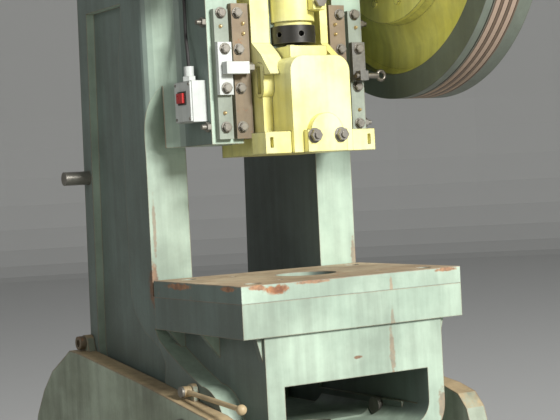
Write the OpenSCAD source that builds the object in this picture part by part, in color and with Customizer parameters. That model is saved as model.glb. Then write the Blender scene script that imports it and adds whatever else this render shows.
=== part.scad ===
// Mechanical stamping press: an open back, inclinable frame hung between two
// leg castings, with a crankshaft, a flywheel driven by belts and a guided slide.
//
// Every piece is drawn in press measures: X to the right, Y to the back from
// the bolster's front edge, Z up from the bolster's top. place() then sets it
// on the floor, centred on the anchor holes of the feet.

/* [Bed and bolster] */
// Height of the bolster's top above the floor
bolster_top = 820; // [780:1:900]
// Width of the bolster and of the bed flange under it
bolster_w = 610; // [600:1:640]
// Depth of the bolster, front to back
bolster_d = 430; // [420:1:440]
// Thickness of the bolster plate
bolster_t = 40; // [30:1:50]
// Thickness of the bed flange
flange_t = 79; // [60:1:90]
// Width of the bed body below the flange
bed_w = 494; // [480:1:510]
// Wall between the bed's outside and its opening
bed_wall = 47; // [40:1:55]
// Height of the bed opening in the front wall
bed_open_h = 130; // [110:1:140]
// Thickness of the floor of the bed
bed_floor = 45; // [35:1:60]
// Drop hole diameter through bolster and bed
drop_d = 150; // [100:1:180]

/* [Frame] */
// Outside width over the two columns
column_w = 604; // [596:1:604]
// Width of the open back between the columns
back_gap = 382; // [360:1:390]
// Gap between the bolster and the throat behind it
throat_gap = 12; // [8:1:20]
// Rear face of the columns at the bottom
column_back = 832; // [810:1:850]
// How far the rear face leans forward at the top
column_lean = 32; // [0:1:50]
// Depth of the recess in each side web
web_recess = 22; // [10:1:30]
// Shoulder of the columns below the crank axis
shoulder_drop = 83; // [79:1:93]
// Underside of the slide jaws above the bolster
jaw_bottom = 322; // [310:1:330]
// Outside width over the jaws
jaw_w = 444; // [436:1:450]
// Front face of the jaws
jaw_front = 245; // [240:1:250]

/* [Drive] */
// Crankshaft and ram axis behind the bolster's front edge
ram_y = 215; // [211:1:219]
// Crankshaft axis above the bolster
crank_z = 843; // [840:1:848]
// Stroke of the slide
stroke = 50; // [30:1:52]
// Diameter of the crankshaft journals
journal_d = 100; // [90:1:104]
// Diameter of the eccentric
eccentric_d = 160; // [156:1:164]
// Outside diameter of the flywheel
flywheel_d = 846; // [800:1:852]
// Width of the flywheel rim
rim_w = 141; // [136:1:150]
// Inner face of the flywheel rim
rim_x = 306; // [304:1:316]
// Outside diameter of the motor pulley
pulley_d = 150; // [130:1:170]
// Width of one drive belt
belt_w = 13; // [10:1:14]
// Thickness of one drive belt
belt_t = 11.5; // [9:0.5:12]

/* [Slide] */
// Width of the slide between the jaws
slide_w = 220; // [210:1:222]
// Width of the front block of the slide
block_w = 166; // [150:1:180]
// Front face of the slide block
block_front = 103; // [98:1:108]
// Width of the die flange at the bottom of the slide
die_flange_w = 308; // [290:1:320]
// Height of the die flange
die_flange_h = 51; // [40:1:60]
// Underside of the slide above the bolster at the top of the stroke
shut_z = 292; // [285:1:300]
// Diameter of the die shank bore
shank_d = 63.5; // [50:0.5:64]
// Depth of the die shank bore
shank_depth = 75; // [60:1:90]
// Radius of the ball at the end of the adjusting screw
ball_r = 32; // [30:1:33]

/* [Legs] */
// Thickness of a leg casting
leg_t = 55; // [45:1:65]
// Depth of the recess in the outer face of a leg
leg_recess = 20; // [8:1:28]
// Gap between a leg and the frame
leg_gap = 1; // [0.5:0.1:1.5]
// Trunnion axis behind the bolster's front edge
pivot_y = 215; // [205:1:235]
// Trunnion axis below the bolster's top
pivot_drop = 345; // [340:1:350]
// Pivot bolt diameter
pivot_d = 36; // [30:1:42]
// How far the frame leans back in degrees
tilt_max = 25; // [15:1:28]
// Front anchor hole, before the bolster's front edge
foot_front = 60; // [40:1:80]
// Rear anchor hole, behind the bolster's front edge
foot_back = 1140; // [1110:1:1160]
// Anchor hole diameter
anchor_d = 22; // [18:1:26]

/* [Fits] */
// Radial running clearance of shafts and pins
run_gap = 0.06; // [0.03:0.01:0.1]
// Clearance of bolts in their holes
bolt_gap = 0.4; // [0.2:0.1:0.8]
// Clearance between sliding or turning faces
face_gap = 0.3; // [0.2:0.1:0.6]

/* [Hidden] */
$fn = 64;

foot_mid = (foot_back - foot_front) / 2;
foot_span = foot_back + foot_front;
half_w = column_w / 2;
throat_y = bolster_d + throat_gap;
shoulder_z = crank_z - shoulder_drop;
half_gap = back_gap / 2;
half_jaw = jaw_w / 2;
half_bed = bed_w / 2;
pivot_z = -pivot_drop;
floor_z = -bolster_top;
bed_top = -bolster_t;
flange_bottom = bed_top - flange_t;
bed_open_top = flange_bottom - 116;
bed_open_bottom = bed_open_top - bed_open_h;
bed_bottom = bed_open_bottom - bed_floor;
leg_x = half_w + leg_gap;
leg_out = leg_x + leg_t;
throw = stroke / 2;
strap_w = 60;
journal_r = journal_d / 2;
eccentric_r = eccentric_d / 2;
bush_t = 10;
seat_r = journal_r + bush_t;
crown_w = half_jaw;
crown_in = 80;
bearing_in = crown_in + 32;
gib_t = 16;
gib_front = jaw_front - gib_t;
gib_bottom = jaw_bottom + 11;
gib_outer_x = [171, 210];
gib_outer_top = 641;
gib_inner_x = [116, 162];
gib_inner_top = 655;
adjuster_z = [612, 364];
gib_z = [632, 546, 453, 361];
ridge_y = [290, 350];
ridge_w = 25;
jaw_back = 404;
arch_top = 475;
belt_x = [rim_x + 39, rim_x + 63, rim_x + 87];
motor_y = 790;
motor_z = shoulder_z + 160;
motor_r = 125;
base_t = 30;
latch_z = crank_z - 53;
latch_y = 560;
plunger_y = 670;

iron_green = [0.62, 0.70, 0.61];
leg_green = [0.52, 0.56, 0.48];
yellow = [0.86, 0.80, 0.22];
rust = [0.50, 0.36, 0.26];
steel = [0.62, 0.62, 0.60];
dark = [0.22, 0.22, 0.20];
white = [0.85, 0.86, 0.84];
red = [0.66, 0.12, 0.12];

// Sets a piece drawn in press measures on the floor
module place() {
    translate([0, -foot_mid, bolster_top])
        children();
}

// Block between two corners
module block(a, b) {
    translate(a)
        cube([b[0] - a[0], b[1] - a[1], b[2] - a[2]]);
}

// Outline of Y and Z drawn out along X
module along_x(x0, x1) {
    translate([x0, 0, 0])
        rotate([90, 0, 90])
            linear_extrude(x1 - x0)
                children();
}

// Outline of X and Z drawn out along Y
module along_y(y0, y1) {
    translate([0, y1, 0])
        rotate([90, 0, 0])
            linear_extrude(y1 - y0)
                children();
}

// Round bar along X
module bar_x(x0, x1, y, z, r) {
    translate([x0, y, z])
        rotate([0, 90, 0])
            cylinder(h = x1 - x0, r = r);
}

// Round bar along Y
module bar_y(x, y0, y1, z, r) {
    translate([x, y1, z])
        rotate([90, 0, 0])
            cylinder(h = y1 - y0, r = r);
}

// Hexagon head on Z = 0 with its shank below
module hex_bolt(r, head, shank) {
    cylinder(h = head, r = r * 1.9, $fn = 6);
    translate([0, 0, -shank])
        cylinder(h = shank, r = r, $fn = 24);
}

// Bolt whose head looks to the front
module front_bolt(x, y, z, r, head, shank) {
    translate([x, y, z])
        rotate([90, 0, 0])
            hex_bolt(r, head, shank);
}

// Bolt whose head looks outwards along X on the side given by s
module side_bolt(s, x, y, z, r, head, shank) {
    translate([s * x, y, z])
        rotate([0, s * 90, 0])
            hex_bolt(r, head, shank);
}

// Same piece on the right and, mirrored, on the left
module both_sides() {
    children();
    mirror([1, 0, 0])
        children();
}

// Outline of the column and lower side of the frame, from the side
module side_outline() {
    difference() {
        union() {
            polygon([[throat_y, bed_top - 20], [throat_y, flange_bottom], [422, -146], [380, -170],
                [308, -203], [pivot_y, pivot_z + 105], [pivot_y, pivot_z - 105],
                [650, -430], [765, -402], [815, -355], [column_back, -280],
                [column_back, -200], [column_back - column_lean, shoulder_z],
                [480, shoulder_z], [jaw_back, shoulder_z - 40], [jaw_back, arch_top - 10],
                [throat_y - 2, 340]]);
            translate([pivot_y, pivot_z])
                circle(r = 105);
        }
        translate([throat_y - 259, 340])
            circle(r = 259);
    }
}

// Inner outline of the recessed web of a column
module web_outline() {
    polygon([[throat_y + 125, -39], [throat_y + 125, shoulder_z - 200], [545, shoulder_z - 130],
        [540, shoulder_z - 70], [column_back - column_lean - 52, shoulder_z - 70], [column_back - 48, -180],
        [column_back - 70, -300], [700, -345], [480, -345], [410, -300], [395, -200],
        [420, -165], [500, -130], [550, -85]]);
}

// One column with its recessed web
module column() {
    difference() {
        along_x(half_gap, half_w)
            side_outline();
        along_x(half_w - web_recess, half_w + 1)
            web_outline();
        flare_cut();
    }
}

flare_y = 361;

// Half width of the head where it draws in from the columns to the jaws
function flare_x(y) = half_jaw
    + (half_w - half_jaw) * (1 - cos(180 * (y - flare_y) / (throat_y - flare_y))) / 2;

// Corner that the head gives up where it draws in to the jaws
module flare_cut() {
    translate([0, 0, jaw_bottom - 1])
        linear_extrude(shoulder_z - jaw_bottom + 2)
            polygon(concat([[half_w + 1, flare_y - 20], [half_jaw, flare_y - 20]],
                [for (i = [0:4]) let (y = flare_y + (jaw_back - flare_y) * i / 4) [flare_x(y), y]],
                [for (i = [1:3]) let (y = jaw_back + (throat_y - jaw_back) * i / 4) [flare_x(y), y]],
                [[half_w + 1, throat_y]]));
}

// One jaw that guides the slide, with its flare into the column
module jaw() {
    translate([0, 0, jaw_bottom])
        linear_extrude(shoulder_z - jaw_bottom)
            polygon([[slide_w / 2 + ridge_w + face_gap, jaw_front], [half_jaw, jaw_front],
                for (i = [0:4]) let (y = flare_y + (jaw_back - flare_y) * i / 4) [flare_x(y), y],
                [slide_w / 2 + face_gap, jaw_back],
                [slide_w / 2 + face_gap, ridge_y[1] + face_gap],
                [slide_w / 2 + ridge_w + face_gap, ridge_y[1] + face_gap]]);
}

// One side of the crown with the seat of the crank bearing
module crown_side() {
    along_x(crown_in, crown_w)
        polygon([[470, shoulder_z - 55], [jaw_front, shoulder_z - 55], [150, shoulder_z - 25],
            [ram_y - 103, crank_z - 53], [ram_y - 103, crank_z], [ram_y + 103, crank_z],
            [ram_y + 103, crank_z + 62], [400, crank_z + 87], [560, crank_z + 57],
            [600, shoulder_z], [600, shoulder_z - 55]]);
}

// Rounded outline of the bed body, from the front
module bed_outline() {
    difference() {
        union() {
            translate([-half_bed, bed_bottom + 90])
                square([bed_w, flange_bottom - bed_bottom - 90 + 1]);
            translate([-half_bed + 90, bed_bottom])
                square([bed_w - 180, 100]);
            for (s = [-1, 1])
                translate([s * (half_bed - 90), bed_bottom + 90])
                    circle(r = 90);
        }
        translate([-half_bed + bed_wall, bed_open_bottom + 55])
            square([bed_w - 2 * bed_wall, bed_open_h - 55]);
        translate([-half_bed + bed_wall + 55, bed_open_bottom])
            square([bed_w - 2 * bed_wall - 110, 60]);
        for (s = [-1, 1])
            translate([s * (half_bed - bed_wall - 55), bed_open_bottom + 55])
                circle(r = 55);
    }
}

// Rib under the side overhang of the bed flange
module flange_rib(y, w) {
    along_y(y, y + 14)
        polygon([[half_bed - 1, flange_bottom + 1], [half_bed + w, flange_bottom + 1],
            [half_bed - 1, flange_bottom - 62]]);
}

bed_bolt_x = 240;
bed_bolt_y = [60, 370];
stud_y = 790;
stud_z = 262;
stud_r = 18;

// The frame casting
module frame() {
    color(iron_green) place()
        difference() {
            union() {
                both_sides() {
                    column();
                    jaw();
                    crown_side();
                    flange_rib(20, 16);
                    for (y = [217, 390])
                        flange_rib(y, half_w - half_bed - 8);
                }
                block([-half_w - 3, 0, flange_bottom], [half_w + 3, bolster_d, bed_top]);
                block([-half_w, bolster_d - 1, flange_bottom], [half_w, throat_y + 60, bed_top]);
                along_y(10, throat_y + 30)
                    bed_outline();
                block([-half_gap - 1, throat_y + 20, bed_bottom], [half_gap + 1, 760, bed_open_bottom]);
                block([-half_gap - 1, 640, bed_open_bottom - 1], [half_gap + 1, 700, bed_open_bottom + 40]);
                block([-half_gap - 1, 415, 520], [half_gap + 1, 475, shoulder_z]);
                block([-crown_in - 1, 415, shoulder_z - 60], [crown_in + 1, 475, crank_z + 37]);
                block([-half_gap - 1, 475, shoulder_z - 70], [half_gap + 1, 780, shoulder_z]);
            }
            frame_holes();
        }
}

// Everything bored or cut out of the frame casting
module frame_holes() {
    translate([0, ram_y, bed_open_top - 10])
        cylinder(h = -bed_open_top + 30, r = drop_d / 2 + 15);
    translate([0, ram_y, bed_bottom - 1])
        cylinder(h = bed_open_bottom - bed_bottom + 2, r = drop_d / 2 - 15);
    block([-half_bed + bed_wall, 55, bed_open_bottom + 40],
        [half_bed - bed_wall, throat_y + 40, bed_open_top]);
    bar_x(-half_jaw - 1, half_jaw + 1, ram_y, crank_z, seat_r);
    bar_x(-half_w - 1, half_w + 1, pivot_y, pivot_z, pivot_d / 2 + run_gap);
    bar_x(-half_bed + bed_wall, half_bed - bed_wall, pivot_y, pivot_z, 25);
    for (s = [-1, 1]) {
        for (y = bed_bolt_y)
            translate([s * bed_bolt_x, y, bed_top - 60])
                cylinder(h = 70, r = 10 + bolt_gap, $fn = 24);
        for (z = gib_z) {
            bar_y(s * 191, jaw_front - 1, jaw_front + 30, z, 6.4);
            bar_y(s * 146, jaw_front - 1, jaw_front + 30, z, 6.4);
        }
        for (z = adjuster_z)
            bar_x(s > 0 ? half_jaw - 14 : -half_jaw - 1, s > 0 ? half_jaw + 1 : -half_jaw + 14,
                jaw_front + 11, z, 6 + bolt_gap);
        for (y = [-82, 82])
            for (x = [bearing_in + 22, crown_w - 22])
                translate([s * x, ram_y + y, crank_z - 45])
                    cylinder(h = 60, r = 9 + bolt_gap, $fn = 24);
        incline_hole(s);
        bar_x(s > 0 ? half_w - 30 : -half_w - 1, s > 0 ? half_w + 1 : -half_w + 30,
            stud_y, stud_z, stud_r + bolt_gap);
    }
    bar_x(half_jaw - 20, half_jaw + 1, latch_y, latch_z, 12);
}

// Tapped hole for one incline bolt
module incline_hole(s) {
    bar_x(s > 0 ? half_w - 30 : -half_w - 1, s > 0 ? half_w + 1 : -half_w + 30,
        incline_y, incline_z, 12);
}

incline_y = 620;
incline_z = -395;
incline_r = sqrt(pow(incline_y - pivot_y, 2) + pow(incline_z - pivot_z, 2));
incline_a = atan2(incline_z - pivot_z, incline_y - pivot_y);

// Outline of a leg casting, from the side
module leg_outline() {
    difference() {
        polygon([[-105, floor_z], [-105, floor_z + 30], [-60, floor_z + 60], [-20, floor_z + 200],
            [-14, -420], [-10, -376], [0, -345], [31, -312], [92, -295], [130, -290],
            [440, -244], [796, -199], [850, -196], [885, -215], [978, -262], [1043, -320],
            [1100, -395], [1135, -480], [1152, -600], [1158, floor_z + 60], [1185, floor_z + 30],
            [1185, floor_z]]);
        polygon([[120, floor_z - 1], [150, floor_z + 120], [230, -660], [380, -640], [760, -640],
            [900, -665], [960, floor_z + 110], [980, floor_z - 1]]);
    }
}

// Recess in the outer face of a leg
module leg_recess_outline() {
    polygon([[95, floor_z + 90], [90, -520], [120, -470], [440, -430], [800, -400], [900, -410],
        [970, -450], [1010, -540], [1018, floor_z + 90], [1000, floor_z + 90], [955, -650],
        [880, -620], [775, -598], [370, -595], [215, -615], [120, floor_z + 120],
        [105, floor_z + 90]]);
}

// Point at a distance and an angle
function polar(r, a) = [r * cos(a), r * sin(a)];

// Slot in which an incline bolt travels when the frame leans back
module incline_slot(half) {
    low = incline_a - tilt_max;
    polygon(concat(
        [for (i = [0:16]) polar(incline_r + half, incline_a - tilt_max * i / 16)],
        [for (i = [1:7]) polar(incline_r, low) + polar(half, low - 22.5 * i)],
        [for (i = [0:16]) polar(incline_r - half, low + tilt_max * i / 16)],
        [for (i = [1:7]) polar(incline_r, incline_a) + polar(half, incline_a + 180 - 22.5 * i)]));
}

// One leg casting on the right side
module leg() {
    difference() {
        union() {
            difference() {
                along_x(leg_x, leg_out)
                    leg_outline();
                along_x(leg_out - leg_recess, leg_out + 1)
                    leg_recess_outline();
            }
            along_x(leg_x, leg_out)
                translate([pivot_y, pivot_z - 20])
                    circle(r = 75);
            along_x(leg_x, leg_out)
                translate([pivot_y, pivot_z])
                    incline_slot(32);
            along_x(leg_x, leg_x + 22)
                ear_outline();
            block([leg_x, -105, floor_z], [leg_out + 35, 110, floor_z + 28]);
            block([leg_x, 985, floor_z], [leg_out + 35, 1185, floor_z + 28]);
        }
        bar_x(leg_x - 1, leg_out + 1, pivot_y, pivot_z, pivot_d / 2 + bolt_gap);
        along_x(leg_x - 1, leg_out + 1)
            translate([pivot_y, pivot_z])
                incline_slot(13);
        for (y = [-foot_front, foot_back])
            translate([leg_out + 17, y, floor_z - 1])
                cylinder(h = 40, r = anchor_d / 2, $fn = 32);
        bar_x(leg_x - 1, leg_out + 1, ear_y, ear_z, 14 + bolt_gap);
        bar_x(leg_x - 1, leg_out + 1, 40, -520, 16 + bolt_gap);
        bar_x(leg_x - 1, leg_out + 1, 1060, -560, 16 + bolt_gap);
    }
}

ear_y = 825;
ear_z = -176;

// Ear at the top rear of a leg
module ear_outline() {
    translate([ear_y, ear_z])
        circle(r = 20);
    polygon([[ear_y - 32, -210], [ear_y - 20, ear_z], [ear_y + 20, ear_z], [ear_y + 45, -222]]);
}

module left_leg() {
    color(leg_green) place()
        difference() {
            union() {
                mirror([1, 0, 0])
                    leg();
                along_x(-leg_x - 14, -leg_x)
                    union() {
                        translate([lever_y, lever_z])
                            circle(r = 17);
                        translate([lever_y - 17, lever_z - 40])
                            square([34, 40]);
                    }
            }
            bar_x(-leg_x - 15, -leg_x + 1, lever_y, lever_z, 8);
        }
}

module right_leg() {
    color(leg_green) place()
        leg();
}

// Rod that ties the legs together, with a nut and a shoulder at each leg
module tie_rod(y, z) {
    bar_x(-leg_out - 22, leg_out + 22, y, z, 16);
    both_sides() {
        bar_x(leg_x - 12, leg_x - 0, y, z, 26);
        translate([leg_out, y, z])
            rotate([0, 90, 0])
                cylinder(h = 18, r = 27, $fn = 6);
    }
}

module front_tie_rod() {
    color(dark) place()
        tie_rod(40, -520);
}

module rear_tie_rod() {
    color(dark) place()
        tie_rod(1060, -560);
}

// Bolts on which the frame tilts, with a nut outside and the head in the bed
module pivot_bolts() {
    color(steel) place()
        both_sides() {
            bar_x(half_bed - bed_wall - face_gap, leg_out + 34, pivot_y, pivot_z, pivot_d / 2);
            bar_x(half_bed - bed_wall - 20, half_bed - bed_wall - face_gap, pivot_y, pivot_z, 22);
            bar_x(leg_out, leg_out + 6, pivot_y, pivot_z, 36);
            translate([leg_out + 6, pivot_y, pivot_z])
                rotate([0, 90, 0])
                    cylinder(h = 22, r = 31, $fn = 6);
        }
}

// Pins with a ring end in the ears of the legs
module rest_pins() {
    color(rust) place()
        both_sides() {
            bar_x(leg_x + 1, leg_x + 22, ear_y, ear_z, 14);
            difference() {
                bar_x(leg_x + 22, leg_x + 40, ear_y, ear_z, 18);
                bar_x(leg_x + 28, leg_x + 41, ear_y, ear_z, 10);
            }
        }
}

module bolster() {
    color(rust) place()
        difference() {
            block([-bolster_w / 2, 0, bed_top], [bolster_w / 2, bolster_d, 0]);
            translate([0, ram_y, bed_top - 1])
                cylinder(h = bolster_t + 2, r = drop_d / 2);
            for (s = [-1, 1]) {
                for (y = bed_bolt_y)
                    translate([s * bed_bolt_x, y, bed_top - 1]) {
                        cylinder(h = bolster_t + 2, r = 10 + bolt_gap, $fn = 24);
                        translate([0, 0, bolster_t + 1 - 18])
                            cylinder(h = 20, r = 20, $fn = 32);
                    }
                for (y = [ram_y - 110, ram_y + 110])
                    translate([s * 140, y, -30])
                        cylinder(h = 31, r = 8, $fn = 24);
            }
        }
}

module bolster_bolts() {
    color(dark) place()
        for (s = [-1, 1], y = bed_bolt_y)
            translate([s * bed_bolt_x, y, -17])
                difference() {
                    union() {
                        cylinder(h = 14, r = 16, $fn = 32);
                        translate([0, 0, -70])
                            cylinder(h = 71, r = 10, $fn = 24);
                    }
                    translate([0, 0, 6])
                        cylinder(h = 12, r = 8, $fn = 6);
                }
}

// Outer gib bar on the right side
module gib_outer() {
    difference() {
        block([gib_outer_x[0], gib_front, gib_bottom], [gib_outer_x[1], jaw_front, gib_outer_top]);
        for (z = gib_z)
            bar_y(191, gib_front - 1, jaw_front + 1, z, 6.4);
        for (z = [600, 395])
            bar_y(193, gib_front - 1, gib_front + 9, z, 4);
    }
}

// Inner gib bar on the right side, with the lip that holds the slide's ridge
module gib_inner() {
    difference() {
        union() {
            block([gib_inner_x[0], gib_front, gib_bottom], [gib_inner_x[1], jaw_front, gib_inner_top]);
            block([gib_inner_x[0], jaw_front - 1, gib_bottom],
                [slide_w / 2 + ridge_w, ridge_y[0], gib_inner_top]);
        }
        for (z = gib_z)
            bar_y(146, gib_front - 1, jaw_front + 1, z, 6.4);
        for (z = [607, 583])
            bar_y(132, gib_front - 1, gib_front + 9, z, 4);
    }
}

module gib_outer_right() {
    color(iron_green) place()
        gib_outer();
}

module gib_outer_left() {
    color(iron_green) place()
        mirror([1, 0, 0])
            gib_outer();
}

module gib_inner_right() {
    color(rust) place()
        gib_inner();
}

module gib_inner_left() {
    color(rust) place()
        mirror([1, 0, 0])
            gib_inner();
}

// Bolts through the gib bars, and through the brackets laid over them
module gib_bolts() {
    color(steel) place()
        for (s = [-1, 1], i = [0:3]) {
            under = (s < 0 && (i == 1 || i == 2)) || (s > 0 && i == 1) ? bracket_t : 0;
            front_bolt(s * 191, gib_front - under, gib_z[i], 6, 10, gib_t + under + 20);
            front_bolt(s * 146, gib_front, gib_z[i], 6, 10, gib_t + 20);
        }
}

bracket_t = 12;

// Set screws with lock nuts in the outer sides of the jaws
module gib_adjusters() {
    color(steel) place()
        for (s = [-1, 1], z = adjuster_z)
            translate([s * half_jaw, jaw_front + 11, z])
                rotate([0, s * 90, 0]) {
                    translate([0, 0, -13])
                        cylinder(h = 34, r = 6, $fn = 24);
                    cylinder(h = 9, r = 12, $fn = 6);
                }
}

module knockout_bracket_left() {
    color(white) place()
        mirror([1, 0, 0])
            difference() {
                union() {
                    block([172, gib_front - bracket_t, 437], [210, gib_front, 562]);
                    block([138, gib_front - bracket_t - 22, 485], [200, gib_front - bracket_t + 1, 514]);
                }
                for (i = [1, 2])
                    bar_y(191, gib_front - bracket_t - 1, gib_front + 1, gib_z[i], 6.4);
                bar_x(137, 170, gib_front - bracket_t - 11, 500, 6.4);
            }
}

module knockout_bracket_right() {
    color(steel) place()
        difference() {
            union() {
                block([172, gib_front - bracket_t, 466], [210, gib_front, 562]);
                block([180, gib_front - bracket_t - 20, 466], [204, gib_front - bracket_t + 1, 490]);
            }
            bar_y(191, gib_front - bracket_t - 1, gib_front + 1, gib_z[1], 6.4);
            bar_x(179, 205, gib_front - bracket_t - 10, 478, 7.4);
        }
}

// Stop screw of the left bracket and the ringed rod of the right one
module knockout_rod() {
    color(steel) place() {
        mirror([1, 0, 0]) {
            bar_x(124, 168, gib_front - bracket_t - 11, 500, 6);
            translate([138, gib_front - bracket_t - 11, 500])
                rotate([0, -90, 0])
                    cylinder(h = 14, r = 12, $fn = 6);
        }
        bar_x(172, 238, gib_front - bracket_t - 10, 478, 7);
        translate([248, gib_front - bracket_t - 10, 478])
            rotate([90, 0, 0])
                rotate_extrude()
                    translate([11, 0])
                        circle(r = 4.5, $fn = 20);
    }
}

// Upper half of a crank bearing on the right side
module bearing_cap() {
    difference() {
        along_x(bearing_in, crown_w)
            difference() {
                union() {
                    translate([ram_y, crank_z])
                        circle(r = 92);
                    translate([ram_y - 103, crank_z])
                        square([206, 30]);
                }
                translate([ram_y - 120, crank_z - 120])
                    square([240, 120]);
            }
        bar_x(bearing_in - 1, crown_w + 1, ram_y, crank_z, seat_r);
        for (y = [-82, 82])
            for (x = [bearing_in + 22, crown_w - 22])
                translate([x, ram_y + y, crank_z - 1]) {
                    cylinder(h = 60, r = 9 + bolt_gap, $fn = 24);
                    translate([0, 0, 31])
                        cylinder(h = 60, r = 20, $fn = 32);
                }
        translate([(bearing_in + crown_w) / 2, ram_y, crank_z + 50])
            cylinder(h = 60, r = 5, $fn = 20);
    }
}

module bearing_cap_right() {
    color(iron_green) place()
        bearing_cap();
}

module bearing_cap_left() {
    color(iron_green) place()
        mirror([1, 0, 0])
            bearing_cap();
}

module cap_bolts() {
    color(dark) place()
        for (s = [-1, 1], y = [-82, 82], x = [bearing_in + 22, crown_w - 22])
            translate([s * x, ram_y + y, crank_z + 30])
                hex_bolt(9, 13, 70);
}

// Bronze bush of a crank bearing on the right side
module main_bush() {
    difference() {
        bar_x(bearing_in, crown_w + 4, ram_y, crank_z, seat_r);
        bar_x(bearing_in - 1, crown_w + 5, ram_y, crank_z, journal_r + run_gap);
    }
}

module main_bush_right() {
    color([0.70, 0.52, 0.26]) place()
        main_bush();
}

module main_bush_left() {
    color([0.70, 0.52, 0.26]) place()
        mirror([1, 0, 0])
            main_bush();
}

box_x = [-half_jaw - 43, -half_jaw];
box_y = [262, 344];
box_z = [378, 476];
button_y = [288, 318];
button_z = [424, 448];

module switch_box() {
    color(white) place()
        difference() {
            union() {
                block([box_x[0] + 5, box_y[0], box_z[0]], [box_x[1], box_y[1], box_z[1]]);
                block([box_x[0], box_y[0] + 2, box_z[0] + 2], [box_x[0] + 6, box_y[1] - 2, box_z[1] - 2]);
            }
            block([box_x[0] - 1, button_y[0] - face_gap, button_z[0] - face_gap],
                [box_x[0] + 24, button_y[1] + face_gap, button_z[1] + face_gap]);
        }
}

module switch_button() {
    color(red) place()
        block([box_x[0] - 9, button_y[0], button_z[0]], [box_x[0] + 16, button_y[1], button_z[1]]);
}

module cable_gland() {
    color(white) place()
        translate([(box_x[0] + box_x[1]) / 2, (box_y[0] + box_y[1]) / 2, box_z[1]]) {
            cylinder(h = 12, r = 17, $fn = 6);
            cylinder(h = 36, r = 12, $fn = 32);
        }
}

drum_x = [-half_jaw - 78, -half_jaw - 22];
drum_r = 110;

module brake_drum() {
    color(steel) place()
        difference() {
            bar_x(drum_x[0], drum_x[1], ram_y, crank_z, drum_r);
            bar_x(drum_x[0] - 1, drum_x[0] + 30, ram_y, crank_z, drum_r - 22);
            bar_x(drum_x[0] - 1, drum_x[1] + 1, ram_y, crank_z, journal_r);
        }
}

// Brake band with its two lugs at the back
module brake_band() {
    color(dark) place()
        difference() {
            union() {
                bar_x(drum_x[0] + 6, drum_x[1] - 6, ram_y, crank_z, drum_r + 8);
                block([drum_x[0] + 6, ram_y + drum_r - 6, crank_z + 8],
                    [drum_x[1] - 6, ram_y + drum_r + 44, crank_z + 20]);
                block([drum_x[0] + 6, ram_y + drum_r - 6, crank_z - 20],
                    [drum_x[1] - 6, ram_y + drum_r + 44, crank_z - 8]);
                block([drum_x[1] - 7, ram_y + drum_r + 4, crank_z - 20],
                    [-crown_w, ram_y + drum_r + 44, crank_z - 8]);
            }
            bar_x(drum_x[0], drum_x[1], ram_y, crank_z, drum_r + face_gap);
            block([drum_x[0], ram_y + drum_r - 10, crank_z - 8],
                [drum_x[1], ram_y + drum_r + 50, crank_z + 8]);
            translate([(drum_x[0] + drum_x[1]) / 2, ram_y + drum_r + 28, crank_z - 40])
                cylinder(h = 80, r = 6 + bolt_gap, $fn = 24);
        }
}

module brake_bolt() {
    color(steel) place()
        translate([(drum_x[0] + drum_x[1]) / 2, ram_y + drum_r + 28, crank_z]) {
            translate([0, 0, -32])
                cylinder(h = 110, r = 6, $fn = 24);
            translate([0, 0, -30])
                cylinder(h = 10, r = 12, $fn = 6);
            translate([0, 0, 62])
                cylinder(h = 10, r = 12, $fn = 6);
        }
}

// Closed coils of wire wound round a vertical axis
module coils(r, wire, count) {
    rotate_extrude()
        for (i = [0:count - 1])
            translate([r, wire + i * wire * 1.9])
                circle(r = wire, $fn = 16);
}

module brake_spring() {
    color(dark) place()
        translate([(drum_x[0] + drum_x[1]) / 2, ram_y + drum_r + 28, crank_z + 20])
            coils(10, 2.6, 8);
}

module motor_base() {
    color(iron_green) place()
        difference() {
            union() {
                block([-190, 620, shoulder_z], [190, 940, shoulder_z + 18]);
                for (y = [motor_y - 105, motor_y + 105])
                    block([-130, y - 26, shoulder_z + 17], [150, y + 26, shoulder_z + base_t]);
            }
            for (x = [-110, 130], y = [motor_y - 105, motor_y + 105])
                translate([x, y, shoulder_z - 1])
                    cylinder(h = base_t + 2, r = 6 + bolt_gap, $fn = 24);
        }
}

// Electric motor with ribs, feet, cowl and terminal box
module motor() {
    color([0.45, 0.50, 0.48]) place()
        union() {
            bar_x(-120, 160, motor_y, motor_z, motor_r - 14);
            bar_x(-126, -96, motor_y, motor_z, motor_r - 6);
            bar_x(140, 168, motor_y, motor_z, motor_r - 6);
            bar_x(168, 180, motor_y, motor_z, 46);
            bar_x(-170, -125, motor_y, motor_z, motor_r - 10);
            translate([0, motor_y, motor_z])
                rotate([0, 90, 0])
                    for (i = [0:31])
                        rotate(i * 360 / 32)
                            translate([motor_r - 18, -1.5, -101])
                                cube([15, 3, 242]);
            for (x = [-130, 110], y = [-1, 1])
                block([x, motor_y + y * 105 - 24, shoulder_z + base_t],
                    [x + 40, motor_y + y * 105 + 24, shoulder_z + base_t + 12]);
            for (x = [-130, 110])
                block([x + 4, motor_y - 95, shoulder_z + base_t + 11], [x + 36, motor_y + 95, motor_z - 60]);
            block([-20, motor_y - 48, motor_z + motor_r - 22], [70, motor_y + 48, motor_z + motor_r + 34]);
            block([-25, motor_y - 53, motor_z + motor_r + 34], [75, motor_y + 53, motor_z + motor_r + 42]);
        }
}

// Way of the switch cable from the gland to the motor's terminal box
cable_way = [[-243.5, 303, 512], [-243, 306, 545], [-236, 324, 590], [-231, 332, 650], [-231, 336, 722],
    [-235, 352, 764], [-240, 410, 769], [-240, 520, 769], [-236, 640, 769], [-226, 712, 800],
    [-200, 742, 880], [-196, 760, 980], [-160, 784, 1056], [-80, 790, 1064], [-20, 790, 1062]];
cable_steps = 5;
cable_sides = 8;
cable_r = 4;

// Point of a smooth curve through four points
function smooth(a, b, c, d, t) =
    0.5 * (2 * b + (c - a) * t + (2 * a - 5 * b + 4 * c - d) * t * t
        + (3 * b - a - 3 * c + d) * t * t * t);

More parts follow.
